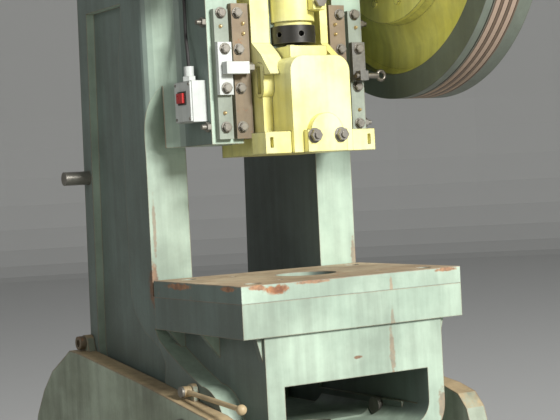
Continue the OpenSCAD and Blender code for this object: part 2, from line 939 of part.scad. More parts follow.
function way_point(i) = cable_way[max(0, min(len(cable_way) - 1, i))];

cable_line = [for (i = [0:len(cable_way) - 2], k = [0:cable_steps - 1])
    smooth(way_point(i - 1), way_point(i), way_point(i + 1), way_point(i + 2), k / cable_steps),
    cable_way[len(cable_way) - 1]];

function run(i) = cable_line[min(len(cable_line) - 1, i + 1)] - cable_line[max(0, i - 1)];

function unit(v) = v / norm(v);

// Rings of the cable, each square to its way
cable_points = [for (i = [0:len(cable_line) - 1])
    let (t = unit(run(i)), u = unit(cross(t, [0.3, 0.2, 0.1])), w = cross(t, u))
        for (k = [0:cable_sides - 1])
            cable_line[i] + cable_r * (u * cos(k * 360 / cable_sides) + w * sin(k * 360 / cable_sides))];

module switch_cable() {
    rings = len(cable_line);
    color(dark) place()
        polyhedron(cable_points, concat(
            [[for (k = [0:cable_sides - 1]) k]],
            [for (i = [0:rings - 2], k = [0:cable_sides - 1])
                [i * cable_sides + k, (i + 1) * cable_sides + k,
                    (i + 1) * cable_sides + (k + 1) % cable_sides]],
            [for (i = [0:rings - 2], k = [0:cable_sides - 1])
                [i * cable_sides + k, (i + 1) * cable_sides + (k + 1) % cable_sides,
                    i * cable_sides + (k + 1) % cable_sides]],
            [[for (k = [cable_sides - 1:-1:0]) (rings - 1) * cable_sides + k]]));
}

groove_d = belt_t + 0.4;

// Groove for one belt, as an outline of radius and width
module groove_outline(r, x) {
    polygon([[r + 1, x - belt_w / 2 - 2], [r + 1, x + belt_w / 2 + 2],
        [r - groove_d, x + belt_w / 2 + 0.3], [r - groove_d, x - belt_w / 2 - 0.3]]);
}

module motor_pulley() {
    color(dark) place()
        translate([0, motor_y, motor_z])
            rotate([0, 90, 0]) {
                rotate_extrude()
                    difference() {
                        translate([0, rim_x + 27])
                            square([pulley_d / 2, 72]);
                        for (x = belt_x)
                            groove_outline(pulley_d / 2, x);
                    }
                translate([0, 0, 180 + face_gap])
                    cylinder(h = 235, r = 19);
            }
}

// One belt loop seen from the side
module belt_outline() {
    difference() {
        hull() {
            translate([ram_y, crank_z])
                circle(r = flywheel_d / 2, $fn = 128);
            translate([motor_y, motor_z])
                circle(r = pulley_d / 2);
        }
        hull() {
            translate([ram_y, crank_z])
                circle(r = flywheel_d / 2 - belt_t, $fn = 128);
            translate([motor_y, motor_z])
                circle(r = pulley_d / 2 - belt_t);
        }
    }
}

module drive_belts() {
    color(rust) place()
        for (x = belt_x)
            along_x(x - belt_w / 2, x + belt_w / 2)
                belt_outline();
}

// Bolts that lock the frame to the legs at the chosen lean
module incline_bolts() {
    color(steel) place()
        both_sides() {
            bar_x(half_w - 29, leg_out + 4, incline_y, incline_z, 11.4);
            bar_x(leg_out + face_gap, leg_out + 6, incline_y, incline_z, 27);
            translate([leg_out + 6, incline_y, incline_z])
                rotate([0, 90, 0])
                    cylinder(h = 16, r = 21, $fn = 6);
        }
}

// Studs in the backs of the columns for the slings
module lifting_studs() {
    color(steel) place()
        both_sides()
            bar_x(half_w - 30 + 0.1, half_w + 70, stud_y, stud_z, stud_r);
}

lever_y = 245;
lever_z = -252;
lever_l = 258;
lever_dip = 3.5;

module lever_stud() {
    color(steel) place() {
        bar_x(-leg_x - 36, -leg_x - 1, lever_y, lever_z, 8);
        bar_x(-leg_x - 40, -leg_x - 34, lever_y, lever_z, 13);
    }
}

// Hand lever with a ball end, turning on the left leg
module hand_lever() {
    color([0.80, 0.72, 0.55]) place()
        difference() {
            union() {
                bar_x(-leg_x - 34 + face_gap, -leg_x - 14 - face_gap, lever_y, lever_z, 13);
                translate([-leg_x - 24, lever_y, lever_z])
                    rotate([90 + lever_dip, 0, 0])
                        cylinder(h = lever_l, r = 6, $fn = 32);
                translate([-leg_x - 24, lever_y - lever_l * cos(lever_dip),
                    lever_z - lever_l * sin(lever_dip)])
                    sphere(r = 12);
            }
            bar_x(-leg_x - 40, -leg_x - 10, lever_y, lever_z, 8 + run_gap);
        }
}

// Crankshaft forged with its eccentric
module crankshaft() {
    color(steel) place()
        difference() {
            union() {
                bar_x(-half_jaw - 104, rim_x + rim_w + 28, ram_y, crank_z, journal_r);
                bar_x(-strap_w - 2, strap_w + 2, ram_y, crank_z + throw, eccentric_r);
            }
            block([-half_jaw - 108, ram_y - 6, crank_z + journal_r - 6],
                [-half_jaw - 18, ram_y + 6, crank_z + journal_r + 1]);
        }
}

collar_x = [half_jaw + 10, half_jaw + 44];
collar_r = 64;

// Collar keyed to the crankshaft, with the lug that stands against the latch
module clutch_collar() {
    color(steel) place()
        difference() {
            union() {
                bar_x(collar_x[0], collar_x[1], ram_y, crank_z, collar_r - 7);
                block([collar_x[0], ram_y - 32, crank_z - collar_r],
                    [collar_x[1], ram_y - 10 - face_gap, crank_z - 40]);
            }
            bar_x(collar_x[0] - 1, collar_x[1] + 1, ram_y, crank_z, journal_r);
        }
}

module end_collar() {
    color(steel) place()
        difference() {
            bar_x(rim_x + rim_w + 4, rim_x + rim_w + 22, ram_y, crank_z, 78);
            bar_x(rim_x + rim_w + 3, rim_x + rim_w + 23, ram_y, crank_z, journal_r);
        }
}

hub_r = 62;
disc_r = 232;
dish_r = 361;

module flywheel() {
    fr = flywheel_d / 2;
    color(yellow) place()
        translate([0, ram_y, crank_z])
            rotate([0, 90, 0])
                rotate_extrude($fn = 128)
                    difference() {
                        polygon([[hub_r, rim_x + 1], [disc_r - 6, rim_x + 1], [disc_r + 4, rim_x + 24],
                            [dish_r - 60, rim_x + 40], [dish_r - 14, rim_x + 36], [dish_r, rim_x + 20],
                            [dish_r, rim_x], [fr, rim_x], [fr, rim_x + rim_w], [dish_r, rim_x + rim_w],
                            [dish_r - 8, rim_x + 96], [140, rim_x + 92], [110, rim_x + rim_w + 3],
                            [hub_r, rim_x + rim_w + 3]]);
                        for (x = belt_x)
                            groove_outline(fr, x);
                        translate([fr - 3, rim_x + 23])
                            square([4, 3]);
                    }
}

module flywheel_bush() {
    color([0.70, 0.52, 0.26]) place()
        difference() {
            bar_x(rim_x + 1, rim_x + rim_w + 3, ram_y, crank_z, hub_r);
            bar_x(rim_x, rim_x + rim_w + 4, ram_y, crank_z, journal_r + run_gap);
        }
}

hub_bolt_r = 186;

module hub_plate() {
    color(yellow) place()
        difference() {
            bar_x(rim_x - 15, rim_x + 1, ram_y, crank_z, disc_r);
            bar_x(rim_x - 16, rim_x + 2, ram_y, crank_z, journal_r + 6);
        }
}

module hub_bolts() {
    color(yellow) place()
        translate([rim_x - 15, ram_y, crank_z])
            rotate([0, -90, 0])
                for (i = [0:11])
                    rotate(i * 30 + 12)
                        translate([hub_bolt_r, 0, 0])
                            cylinder(h = 8, r = 10, $fn = 6);
}

// Lever that holds the clutch out, with its nose under the collar
module clutch_latch() {
    nose = crank_z - collar_r;
    color(steel) place()
        difference() {
            union() {
                along_x(collar_x[0] + 6, collar_x[1] - 10)
                    union() {
                        polygon([[ram_y - 10, nose - 20], [ram_y + 16, nose - 20], [300, latch_z - 24],
                            [jaw_back, latch_z - 14], [latch_y, latch_z - 22], [plunger_y, latch_z - 10],
                            [plunger_y, latch_z + 10], [latch_y, latch_z + 22], [400, latch_z + 14],
                            [ram_y + 66, nose + 4], [ram_y + 12, nose - 4], [ram_y + 8, nose + 5],
                            [ram_y - 10, nose + 5]]);
                        translate([latch_y, latch_z])
                            circle(r = 24);
                        translate([plunger_y, latch_z])
                            circle(r = 14);
                    }
                bar_x(half_jaw + face_gap, collar_x[0] + 7, latch_y, latch_z, 24);
            }
            bar_x(half_jaw - 1, collar_x[1] + 1, latch_y, latch_z, 12 + run_gap);
        }
}

module latch_stud() {
    color(dark) place() {
        bar_x(half_jaw - 19, collar_x[1], latch_y, latch_z, 12);
        bar_x(collar_x[1] - 10 + face_gap, collar_x[1] + 2, latch_y, latch_z, 20);
    }
}

coil_x = (collar_x[0] + collar_x[1] - 4) / 2;
coil_z = latch_z + 44;

// Solenoid on its stand, pulling the rear end of the latch up
module trip_solenoid() {
    color(dark) place()
        difference() {
            union() {
                block([half_jaw - 22, plunger_y - 40, shoulder_z],
                    [half_jaw + 4, plunger_y + 40, shoulder_z + 10]);
                block([half_jaw - 6, plunger_y - 40, shoulder_z],
                    [half_jaw + 4, plunger_y + 40, coil_z + 70]);
                block([half_jaw + 3, plunger_y - 30, coil_z], [coil_x + 26, plunger_y + 30, coil_z + 70]);
            }
            translate([coil_x, plunger_y, coil_z - 1])
                cylinder(h = 60, r = 9 + face_gap);
        }
}

// Core of the solenoid, standing on the rear end of the latch
module solenoid_plunger() {
    color(steel) place() {
        translate([coil_x, plunger_y, latch_z + 14 + 0.2])
            cylinder(h = 64, r = 9);
        translate([coil_x, plunger_y, latch_z + 14 + 0.2])
            cylinder(h = 8, r = 13);
    }
}

// Pitman with the upper half of the strap left to its cap
module pitman() {
    color(yellow) place()
        difference() {
            union() {
                along_x(-strap_w, strap_w)
                    difference() {
                        translate([ram_y, crank_z + throw])
                            circle(r = eccentric_r + 32);
                        translate([ram_y - 140, crank_z + throw])
                            square([280, 140]);
                    }
                for (s = [-1, 1])
                    block([-strap_w, ram_y + s * (eccentric_r + 24) - 22, crank_z + throw - 34],
                        [strap_w, ram_y + s * (eccentric_r + 24) + 22, crank_z + throw]);
                translate([0, ram_y, 608])
                    cylinder(h = crank_z - 608, r = barrel_r);
                translate([0, ram_y, 598])
                    cylinder(h = 20, r = 46);
                block([14, ram_y - 74, 632], [48, ram_y - 30, 672]);
            }
            bar_x(-strap_w - 8, strap_w + 8, ram_y, crank_z + throw, eccentric_r + run_gap);
            translate([0, ram_y, 597])
                cylinder(h = 130, r = 26 + run_gap);
            bar_y(31, ram_y - 75, ram_y - 49, 652, 8 + bolt_gap);
            block([-strap_w - 8, ram_y - 260, crank_z + throw],
                [strap_w + 8, ram_y + 260, crank_z + 300]);
            for (s = [-1, 1], x = [-38, 38])
                translate([x, ram_y + s * (eccentric_r + 28), crank_z + throw - 40])
                    cylinder(h = 60, r = 8 + bolt_gap, $fn = 24);
        }
}

barrel_r = 53;

module pitman_cap() {
    color(yellow) place()
        difference() {
            union() {
                along_x(-strap_w, strap_w)
                    difference() {
                        translate([ram_y, crank_z + throw])
                            circle(r = eccentric_r + 28);
                        translate([ram_y - 140, crank_z + throw - 140])
                            square([280, 140]);
                    }
                for (s = [-1, 1])
                    block([-strap_w, ram_y + s * (eccentric_r + 24) - 22, crank_z + throw],
                        [strap_w, ram_y + s * (eccentric_r + 24) + 22, crank_z + throw + 30]);
            }
            bar_x(-strap_w - 8, strap_w + 8, ram_y, crank_z + throw, eccentric_r + run_gap);
            for (s = [-1, 1], x = [-38, 38])
                translate([x, ram_y + s * (eccentric_r + 28), crank_z + throw - 1]) {
                    cylinder(h = 60, r = 8 + bolt_gap, $fn = 24);
                    translate([0, 0, 31])
                        cylinder(h = 60, r = 18, $fn = 32);
                }
        }
}

module pitman_bolts() {
    color(steel) place() {
        for (s = [-1, 1], x = [-38, 38])
            translate([x, ram_y + s * (eccentric_r + 28), crank_z + throw + 30])
                hex_bolt(8, 12, 60);
        front_bolt(31, ram_y - 74, 652, 8, 12, 24);
    }
}

ball_z = 465;

// Screw with its wrench collar and the ball that pushes the slide
module adjusting_screw() {
    color(dark) place()
        difference() {
            union() {
                translate([0, ram_y, 598])
                    cylinder(h = 120, r = 26);
                translate([0, ram_y, 556])
                    cylinder(h = 42, r = 54);
                translate([0, ram_y, ball_z])
                    cylinder(h = 92, r = 19);
                translate([0, ram_y, ball_z])
                    sphere(r = ball_r);
            }
            for (i = [0:5])
                translate([0, ram_y, 577])
                    rotate([0, 90, i * 60 + 20])
                        translate([0, 0, 34])
                            cylinder(h = 30, r = 7, $fn = 24);
        }
}

slack = 6.5;
cap_z = [512, 547];

// Rounded outline of the slide's front block, from the front
module block_outline() {
    hw = block_w / 2;
    translate([-hw, shut_z])
        square([block_w, 520 - 38 - shut_z]);
    translate([-hw + 38, shut_z])
        square([block_w - 76, 520 - shut_z]);
    for (s = [-1, 1])
        translate([s * (hw - 38), 520 - 38])
            circle(r = 38);
}

module slide() {
    color(yellow) place()
        difference() {
            union() {
                along_y(block_front, 200)
                    block_outline();
                block([-die_flange_w / 2, 113, shut_z], [die_flange_w / 2, 176, shut_z + die_flange_h]);
                block([-slide_w / 2, 190, shut_z], [slide_w / 2, 400, cap_z[0]]);
                along_x(-slide_w / 2, slide_w / 2)
                    polygon([[149, 480], [190, 530], [229, 560], [229, 685], [400, 685], [400, 480]]);
                for (s = [-1, 1])
                    block([s > 0 ? 100 : -slide_w / 2 - ridge_w, ridge_y[0] + face_gap, shut_z + 44],
                        [s > 0 ? slide_w / 2 + ridge_w : -100, ridge_y[1] - face_gap, 685]);
                slot_boss();
            }
            block([-57, 140, cap_z[0]], [88, 420, 700]);
            block([-ball_r - 1, ram_y - ball_r - 2, ball_z - ball_r - slack],
                [ball_r + 1, ram_y + ball_r + throw + 3, cap_z[0] + 1]);
            for (s = [-1, 1])
                block([s > 0 ? slide_w / 2 - 12 : -slide_w / 2 - 20, 191, 437],
                    [s > 0 ? slide_w / 2 + 20 : -slide_w / 2 + 12, 205, 501]);
            translate([0, ram_y, shut_z - 1])
                cylinder(h = shank_depth + 1, r = shank_d / 2);
            bar_y(0, 90, ram_y, shut_z + 32, 9);
            for (x = [-137, 137])
                block([x - 4, 112, shut_z + 14], [x + 4, 124, shut_z + 38]);
            for (s = [-1, 1])
                bar_y(s * 37, 90, 150, shut_z + 38, 8 + bolt_gap);
            for (x = [-41, 41], y = [164, 270])
                translate([x, y, cap_z[0] - 30])
                    cylinder(h = 40, r = 6 + bolt_gap, $fn = 24);
        }
}

// Oval boss round the knockout slot in the side of the slide
module slot_boss() {
    for (s = [-1, 1])
        along_x(s > 0 ? 80 : -slide_w / 2 - 3, s > 0 ? slide_w / 2 + 3 : -80) {
            for (z = [447, 491])
                translate([198, z])
                    circle(r = 20);
            translate([178, 447])
                square([40, 44]);
        }
}

// Cap that keeps the ball in the slide, open at the back for the swing
module ball_cap() {
    color(yellow) place()
        difference() {
            block([-52, 149, cap_z[0]], [52, 290, cap_z[1]]);
            block([-23, ram_y - 22, cap_z[0] - 1], [23, 291, cap_z[1] + 1]);
            for (x = [-41, 41], y = [164, 270])
                translate([x, y, cap_z[0] - 1])
                    cylinder(h = 60, r = 6 + bolt_gap, $fn = 24);
        }
}

module ball_cap_bolts() {
    color(yellow) place()
        for (x = [-41, 41], y = [164, 270])
            translate([x, y, cap_z[1]])
                hex_bolt(6, 1.6, 60);
}

// Clamp on the front of the slide that presses a pin on the die shank
module die_clamp() {
    color(yellow) place()
        difference() {
            along_y(85, block_front)
                union() {
                    translate([0, shut_z + 46])
                        circle(r = 45);
                    translate([-55, shut_z])
                        square([110, 52]);
                }
            for (s = [-1, 1])
                bar_y(s * 37, 80, 120, shut_z + 38, 8 + bolt_gap);
        }
}

module clamp_studs() {
    color([0.60, 0.50, 0.22]) place() {
        bar_y(0, block_front, ram_y - shank_d / 2 - face_gap, shut_z + 32, 8.7);
        for (s = [-1, 1]) {
            bar_y(s * 37, 66, 149, shut_z + 38, 8);
            translate([s * 37, 85, shut_z + 38])
                rotate([90, 0, 0])
                    cylinder(h = 14, r = 15, $fn = 6);
        }
    }
}

left_leg();
right_leg();
front_tie_rod();
rear_tie_rod();
pivot_bolts();
rest_pins();
frame();
bolster();
bolster_bolts();
gib_outer_left();
gib_outer_right();
gib_inner_left();
gib_inner_right();
gib_bolts();
gib_adjusters();
knockout_bracket_left();
knockout_bracket_right();
knockout_rod();
bearing_cap_left();
bearing_cap_right();
cap_bolts();
main_bush_left();
main_bush_right();
switch_box();
cable_gland();
switch_button();
brake_band();
brake_bolt();
brake_spring();
motor_base();
motor();
motor_pulley();
switch_cable();
drive_belts();
incline_bolts();
lifting_studs();
lever_stud();
hand_lever();
crankshaft();
brake_drum();
clutch_collar();
end_collar();
flywheel();
flywheel_bush();
hub_plate();
hub_bolts();
clutch_latch();
latch_stud();
trip_solenoid();
solenoid_plunger();
pitman();
pitman_cap();
pitman_bolts();
adjusting_screw();
slide();
ball_cap();
ball_cap_bolts();
die_clamp();
clamp_studs();
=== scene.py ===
"""Looks of the mechanical stamping press: finishes, small visual pieces, light and camera.

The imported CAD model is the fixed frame. This script gives each of its nodes a procedural
finish, adds the small pieces that only the eye needs, and rides them on the CAD's bodies.
"""

import logging
import math
from dataclasses import dataclass, replace
from enum import Enum
from functools import cached_property
from typing import Optional, Sequence, Union

import bmesh
import bpy
from mathutils import Matrix, Vector


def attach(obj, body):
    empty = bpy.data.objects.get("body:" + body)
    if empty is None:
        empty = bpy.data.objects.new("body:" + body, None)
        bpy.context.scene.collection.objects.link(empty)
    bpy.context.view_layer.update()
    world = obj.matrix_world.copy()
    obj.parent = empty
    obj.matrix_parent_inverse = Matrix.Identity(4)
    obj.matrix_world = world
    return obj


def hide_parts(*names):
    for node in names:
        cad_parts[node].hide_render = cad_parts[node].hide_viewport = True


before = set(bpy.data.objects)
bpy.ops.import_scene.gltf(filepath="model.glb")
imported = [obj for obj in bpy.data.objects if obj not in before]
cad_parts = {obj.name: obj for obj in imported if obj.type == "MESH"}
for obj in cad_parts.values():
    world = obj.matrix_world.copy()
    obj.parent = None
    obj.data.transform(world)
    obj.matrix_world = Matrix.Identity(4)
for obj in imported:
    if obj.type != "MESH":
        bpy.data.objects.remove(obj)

logging.basicConfig(level=logging.INFO, format="%(levelname)s %(message)s")
LOG = logging.getLogger("press")

Mesh = bpy.types.Mesh
Object = bpy.types.Object
Socket = bpy.types.NodeSocket
Tree = bpy.types.NodeTree
Input = Union[float, Sequence[float], Socket]
Rgb = tuple[int, int, int]
Point = tuple[float, float, float]
Sizes = tuple[float, ...]
Profile = tuple[tuple[float, float], ...]
Spot = tuple[Vector, Vector]

FRONT_EDGE = 540  # mm from the bolster's front edge to the frame's origin
TABLE_TOP = 820  # mm from the floor to the bolster's top
RAM_Y = 215  # mm from the front edge to crank, ram and pivots
CRANK_Z = 843  # mm from the bolster's top to the crank
GIB_Y = 229  # mm from the front edge to the gib bars' front
SIDES = (-1, 1)  # left and right of the press
UP = Vector((0, 0, 1))
FRONT = Vector((0, -1, 0))
TIP = 0.0001  # m, radius at the closed end of a turned piece
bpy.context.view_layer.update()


def linear(rgb: Sequence[int]) -> tuple[float, float, float, float]:
    """Turns a screen colour into the linear colour that a shader takes.

    Args:
        rgb: Red, green and blue from 0 to 255.

    Returns:
        The linear colour with an alpha of 1.
    """
    parts = [c / 255 for c in rgb]
    lin = [c / 12.92 if c <= 0.04045 else ((c + 0.055) / 1.055) ** 2.4 for c in parts]
    return (lin[0], lin[1], lin[2], 1.0)


def press(x: float, y: float, z: float) -> Vector:
    """Turns press measures into the row frame.

    Args:
        x: Millimetres to the right of the press's middle.
        y: Millimetres behind the bolster's front edge.
        z: Millimetres above the bolster's top.

    Returns:
        The same point in metres, in the row frame.
    """
    return Vector((x / 1000, (y - FRONT_EDGE) / 1000, (z + TABLE_TOP) / 1000))


def mirrored(place: Point, side: int) -> Vector:
    """Turns a point of the right side into the row frame, mirrored where side is -1."""
    return press(side * place[0], place[1], place[2])


class Graph:
    """Adds and joins the nodes of one node tree."""

    MIX_A, MIX_B, MIX_RESULT = 6, 7, 2

    def __init__(self, tree: Tree) -> None:
        """Wraps the tree that the nodes go in."""
        self.tree = tree

    def add(self, kind: str, inputs: Optional[dict[Union[str, int], Input]] = None,
            **props: object) -> bpy.types.Node:
        """Adds a node.

        Args:
            kind: The node's type name.
            inputs: Socket name or number to a value or to the socket that feeds it.
            **props: Properties that are set before the inputs.

        Returns:
            The new node.
        """
        node = self.tree.nodes.new(kind)
        for key, value in props.items():
            setattr(node, key, value)
        for key, value in (inputs or {}).items():
            self.feed(node.inputs[key], value)
        return node

    @cached_property
    def place(self) -> Socket:
        """Object coordinates, in the tree of a shader."""
        return self.add("ShaderNodeTexCoord").outputs["Object"]

    def feed(self, socket: Socket, value: Input) -> None:
        """Links a socket to the input, or sets its constant.

        Args:
            socket: The input socket.
            value: A constant or an output socket.
        """
        if isinstance(value, Socket):
            self.tree.links.new(value, socket)
        else:
            socket.default_value = value

    def maths(self, operation: str, a: Input, b: Input = 0.0, clamp: bool = False) -> Socket:
        """Result of a math node, which clamp holds between 0 and 1."""
        return self.add("ShaderNodeMath", {0: a, 1: b}, operation=operation, use_clamp=clamp).outputs[0]

    def mix(self, factor: Input, a: Input, b: Input) -> Socket:
        """Mix of two colours, where the factor is the share of the second."""
        inputs = {0: factor, self.MIX_A: a, self.MIX_B: b}
        return self.add("ShaderNodeMix", inputs, data_type="RGBA").outputs[self.MIX_RESULT]

    def band(self, value: Input, start: float, stop: float) -> Socket:
        """Smooth step from 0 to 1 while the value goes from start to stop."""
        inputs = {0: value, 1: start, 2: stop}
        return self.add("ShaderNodeMapRange", inputs, interpolation_type="SMOOTHSTEP").outputs[0]

    def noise(self, place: Input, scale: Input, detail: float = 6.0, rough: float = 0.6) -> Socket:
        """Factor of a noise texture, where rough is the weight of the finer octaves."""
        inputs = {"Vector": place, "Scale": scale, "Detail": detail, "Roughness": rough}
        return self.add("ShaderNodeTexNoise", inputs).outputs[0]


class Effect:
    """A shader node group shared by several finishes."""

    def __init__(self, name: str, inputs: dict[str, float], outputs: Sequence[str]) -> None:
        """Makes an empty group with its sockets.

        Args:
            name: The group's name.
            inputs: Name of each number input and its first value.
            outputs: Name of each number output.
        """
        self.tree = bpy.data.node_groups.new(name, "ShaderNodeTree")
        for key, value in inputs.items():
            socket = self.tree.interface.new_socket(key, in_out="INPUT", socket_type="NodeSocketFloat")
            socket.default_value = value
        for key in outputs:
            self.tree.interface.new_socket(key, in_out="OUTPUT", socket_type="NodeSocketFloat")
        self.graph = Graph(self.tree)
        self.start = self.graph.add("NodeGroupInput")
        self.end = self.graph.add("NodeGroupOutput")

    def shifted(self) -> Socket:
        """Object coordinates moved by the group's seed."""
        terms = {0: self.graph.place, 1: self.start.outputs["Seed"]}
        return self.graph.add("ShaderNodeVectorMath", terms, operation="ADD").outputs[0]

    def use(self, graph: Graph, **inputs: Input) -> bpy.types.Node:
        """Places the group in a material's graph, with a value for each named input."""
        return graph.add("ShaderNodeGroup", inputs, node_tree=self.tree)


def edge_wear() -> Effect:
    """Makes the group that finds worn edges.

    Returns:
        The group, whose Wear output is 1 where paint is rubbed off.
    """
    effect = Effect("Edge wear", {"Radius": 0.004, "Amount": 0.5, "Scale": 30.0, "Seed": 0.0}, ["Wear"])
    g, start = effect.graph, effect.start
    bevel = g.add("ShaderNodeBevel", {"Radius": start.outputs["Radius"]}, samples=4)
    normal = g.add("ShaderNodeNewGeometry").outputs["Normal"]
    flat, sharp = 0.995, 0.80
    dot = g.add("ShaderNodeVectorMath", {0: bevel.outputs[0], 1: normal}, operation="DOT_PRODUCT")
    edge = g.band(dot.outputs["Value"], flat, sharp)
    spots = g.noise(effect.shifted(), start.outputs["Scale"], 5.0, 0.65)
    level = g.maths("SUBTRACT", 1.0, start.outputs["Amount"])
    rubbed = g.maths("MULTIPLY", edge, g.maths("ADD", spots, 0.35))
    past = g.maths("SUBTRACT", rubbed, g.maths("MULTIPLY", level, 0.6))
    steepness = 5.0
    g.feed(effect.end.inputs["Wear"], g.maths("MULTIPLY", past, steepness, True))
    return effect


def grime() -> Effect:
    """Makes the group that lays dirt in streaks and towards the floor.

    Returns:
        The group, whose Dirt output is the dirt's cover.
    """
    effect = Effect("Grime", {"Amount": 0.5, "Low": 0.0, "High": 1.0, "Seed": 0.0}, ["Dirt"])
    g, start = effect.graph, effect.start
    place = effect.shifted()
    cloud = g.noise(place, 3.5, 8.0, 0.62)
    upright = (38.0, 38.0, 2.2)
    tall = g.add("ShaderNodeVectorMath", {0: place, 1: upright}, operation="MULTIPLY").outputs[0]
    streak = g.noise(tall, 1.0, 5.0, 0.6)
    height = g.add("ShaderNodeSeparateXYZ", {0: g.place}).outputs["Z"]
    fall = g.add("ShaderNodeMapRange", {0: height, 1: start.outputs["High"], 2: start.outputs["Low"]}).outputs[0]
    both = g.maths("ADD", g.maths("MULTIPLY", cloud, 0.65), g.maths("MULTIPLY", streak, 0.35))
    raised = g.maths("ADD", both, g.maths("MULTIPLY", fall, 0.18))
    clean, dirty = 0.46, 0.78
    dirt = g.band(raised, clean, dirty)
    g.feed(effect.end.inputs["Dirt"], g.maths("MULTIPLY", dirt, start.outputs["Amount"], True))
    return effect


def rust_spots() -> Effect:
    """Makes the group that scatters chips and rust.

    Returns:
        The group, whose Cover output is 1 on rust and whose Tone output varies inside it.
    """
    effect = Effect("Rust", {"Cover": 0.3, "Scale": 9.0, "Seed": 0.0}, ["Cover", "Tone"])
    g, start = effect.graph, effect.start
    place = effect.shifted()
    broad = g.noise(place, start.outputs["Scale"], 10.0, 0.72)
    fine = g.noise(place, g.maths("MULTIPLY", start.outputs["Scale"], 7.0), 6.0, 0.7)
    both = g.maths("ADD", g.maths("MULTIPLY", broad, 0.75), g.maths("MULTIPLY", fine, 0.25))
    limit = g.maths("SUBTRACT", 0.74, g.maths("MULTIPLY", start.outputs["Cover"], 0.30))
    steepness = 22.0
    cover = g.maths("MULTIPLY", g.maths("SUBTRACT", both, limit), steepness, True)
    g.feed(effect.end.inputs["Cover"], cover)
    g.feed(effect.end.inputs["Tone"], g.band(fine, 0.3, 0.7))
    return effect


EDGE_WEAR = edge_wear()
GRIME = grime()
RUST = rust_spots()


class Metal(Enum):
    """How bare metal shows where a coat is gone."""

    STEEL = (128, 124, 116)
    CAST = (92, 84, 74)
    PRIMER = (150, 128, 102)


@dataclass(frozen=True)
class Mark:
    """A patch or streak of rust at one place of the press."""

    centre: Point
    reach: Point
    strength: float = 1.0
    breakup: float = 1.6

    def cover(self, g: Graph) -> Socket:
        """Cover of the mark, broken up at its border.

        Args:
            g: The material's graph.

        Returns:
            The cover socket.
        """
        middle = press(*self.centre)
        offset = g.add("ShaderNodeVectorMath", {0: g.place, 1: middle}, operation="SUBTRACT").outputs[0]
        size = tuple(r / 1000 for r in self.reach)
        scaled = g.add("ShaderNodeVectorMath", {0: offset, 1: size}, operation="DIVIDE").outputs[0]
        away = g.add("ShaderNodeVectorMath", {0: scaled}, operation="LENGTH").outputs["Value"]
        broken = g.maths("ADD", away, g.maths("MULTIPLY", g.noise(g.place, 70.0, 6.0, 0.7), self.breakup))
        return g.maths("MULTIPLY", g.band(broken, 1.75, 1.35), self.strength)


